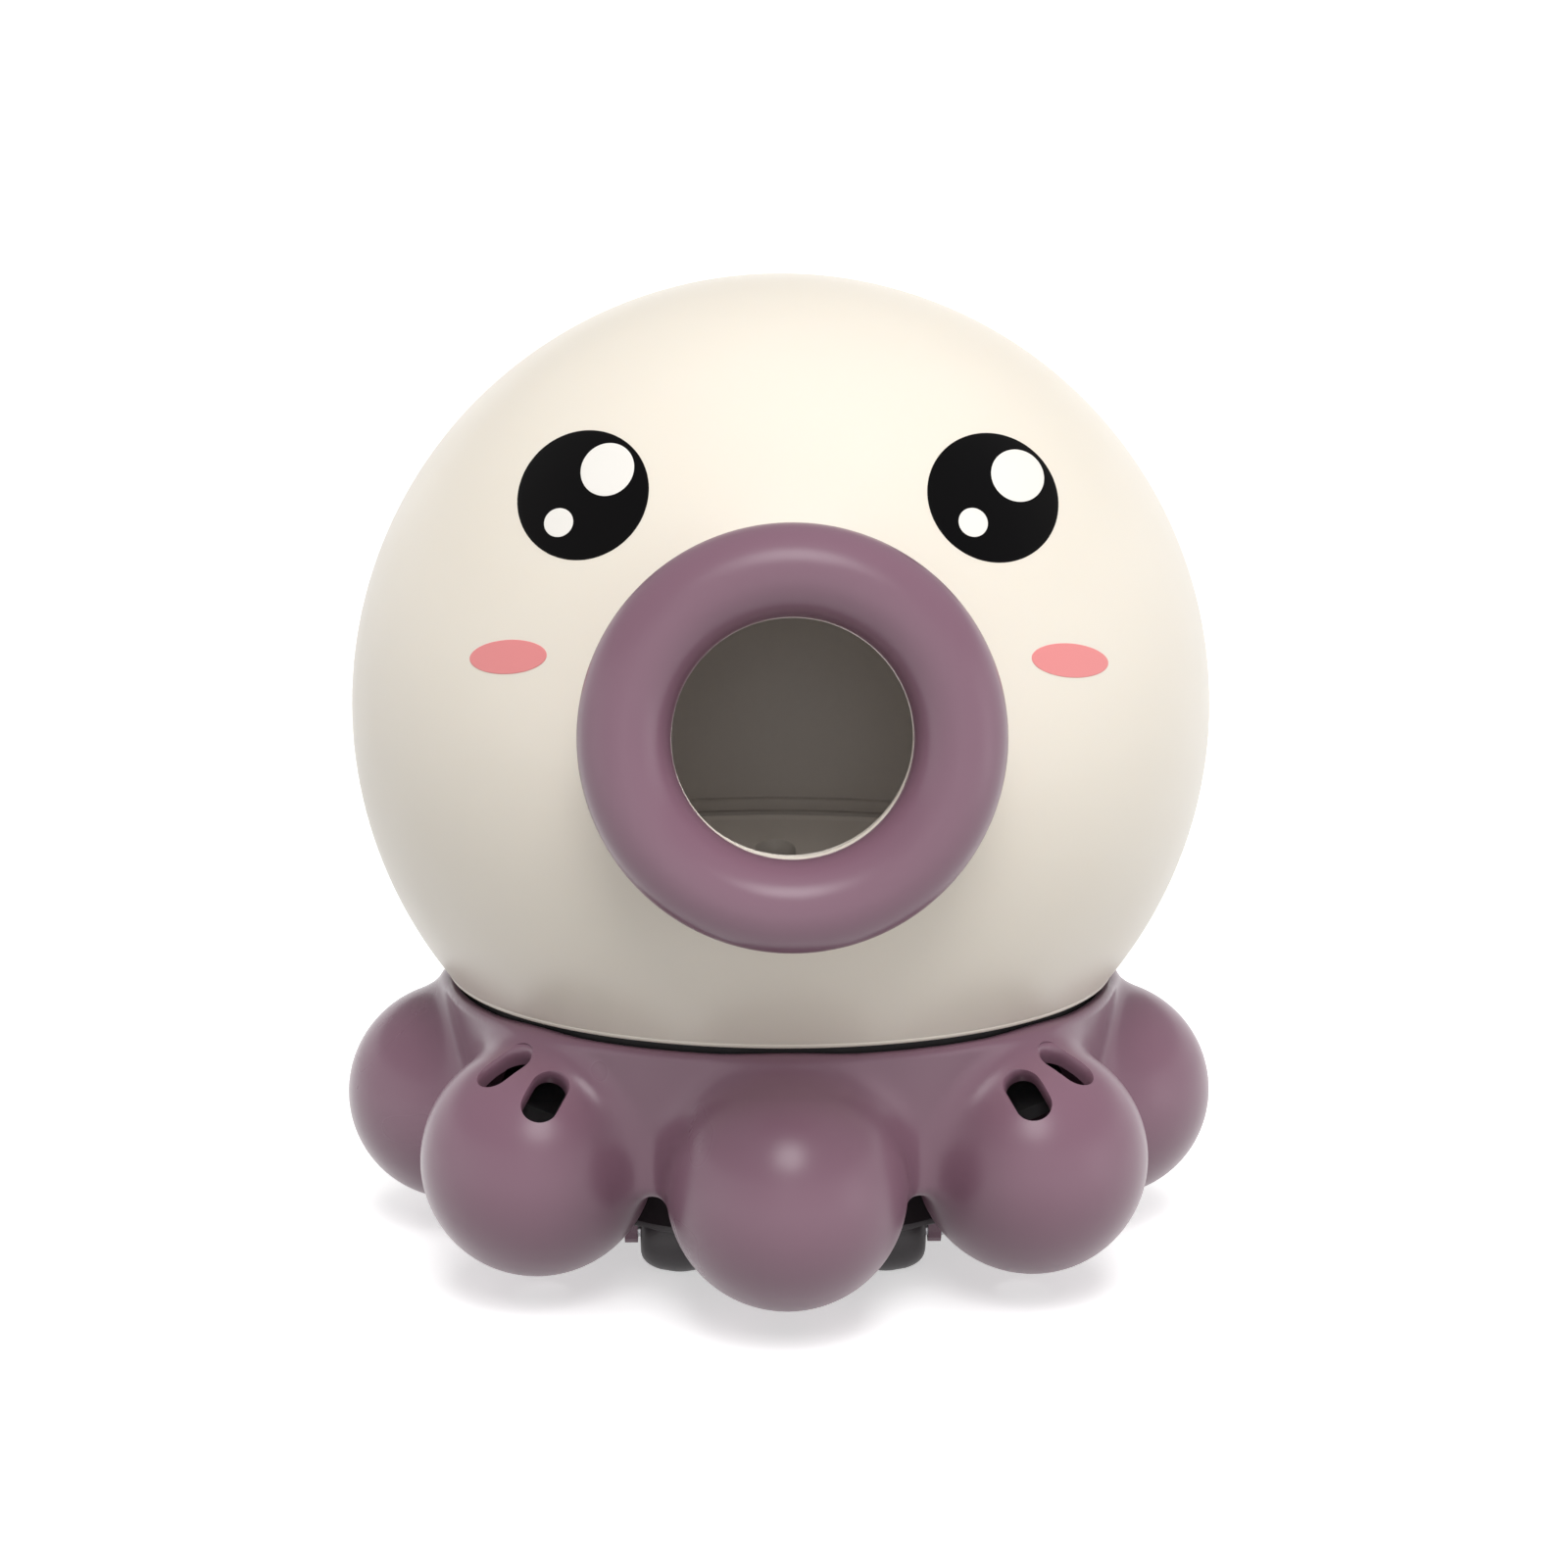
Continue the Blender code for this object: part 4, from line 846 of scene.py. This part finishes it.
def add_light(name, kind, power):
    item = bpy.data.objects.new(name, bpy.data.lights.new(name, kind))
    item.data.energy = power
    bpy.context.scene.collection.objects.link(item)
    return item


def add_softbox(name, azimuth, elevation, size, power):
    """Round area light aimed at the head."""
    item = add_light(name, "AREA", power)
    item.data.shape = "DISK"
    item.data.size = size * MM
    away = outward(azimuth, elevation)
    item.location = HEAD @ (away * SOFTBOX_AWAY * MM)
    item.rotation_euler = away.to_track_quat("Z", "Y").to_euler()
    item.visible_glossy = name == MIRRORED


def add_paper(name, bm, glow):
    """Piece of the studio: pale paper that casts no light of its own on the toy."""
    item = mesh_object("studio_" + name, bm)
    paper = surface(name + "_paper", (0.93, 0.93, 0.93), (0.91, 0.91, 0.91), 0.85, drift=2.0,
                    grain=300.0)
    shader = paper.node_tree.nodes["Principled BSDF"]
    shader.inputs["Emission Color"].default_value = (1.0, 1.0, 1.0, 1.0)
    shader.inputs["Emission Strength"].default_value = glow
    item.data.materials.append(paper)
    item.visible_diffuse = False


def make_studio():
    rim = arc((0, 0), STUDIO_R, 0, 360, 96)[:-1]
    floor = bmesh.new()
    floor.faces.new([floor.verts.new(scaled((x, y, 0))) for x, y in rim])
    add_paper("floor", floor, FLOOR_GLOW)
    wall = bmesh.new()
    rows = [[wall.verts.new(scaled((x, y, z))) for x, y in rim] for z in (0, WALL_HEIGHT)]
    for index in range(len(rim)):
        after = (index + 1) % len(rim)
        wall.faces.new((rows[0][after], rows[0][index], rows[1][index], rows[1][after]))
    add_paper("wall", wall, WALL_GLOW)
    world = bpy.data.worlds.new("studio")
    world.use_nodes = True
    background = world.node_tree.nodes["Background"]
    background.inputs["Color"].default_value = (1.0, 1.0, 1.0, 1.0)
    background.inputs["Strength"].default_value = WORLD_GLOW
    bpy.context.scene.world = world
    bpy.context.scene.view_settings.view_transform = "Standard"
    sun = add_light("overhead", "SUN", OVERHEAD_POWER)
    sun.data.angle = math.radians(OVERHEAD_SPREAD)
    sun.rotation_euler = outward(*OVERHEAD_AT).to_track_quat("Z", "Y").to_euler()
    sun.visible_glossy = False
    for name, settings in SOFTBOXES.items():
        add_softbox(name, *settings)
    lamp = add_light("daylight_through_shell", "POINT", SHELL_LAMP_POWER)
    lamp.data.color = SHELL_LAMP_TINT
    lamp.data.shadow_soft_size = SHELL_LAMP_R * MM
    lamp.location = HEAD @ scaled(SHELL_LAMP_AT)
    lamp.visible_camera = False


# The camera stands where the face's outlines were drawn from; its turns are in degrees.
LENS = 66.14
SENSOR = 36.0
CAMERA_AT = FACE_FROM
CAMERA_YAW = 1.2625
CAMERA_PITCH = 10.098
CAMERA_ROLL = 0.1525


def make_camera():
    data = bpy.data.cameras.new("camera")
    data.lens = LENS
    data.sensor_width = SENSOR
    data.clip_end = 20.0
    item = bpy.data.objects.new("camera", data)
    aim = about("Z", -CAMERA_YAW) @ about("X", 90 - CAMERA_PITCH) @ about("Z", CAMERA_ROLL)
    item.matrix_world = HEAD @ moved(*CAMERA_AT) @ aim
    bpy.context.scene.collection.objects.link(item)
    bpy.context.scene.camera = item


def main():
    make_camera()
    materials = make_materials()
    dress_nodes(materials)
    make_head(materials)
    make_mouth_ring(materials)
    make_face(materials)
    make_tray(materials)
    make_base(materials)
    make_pan(materials)
    make_rollers(materials)
    make_studio()


main()
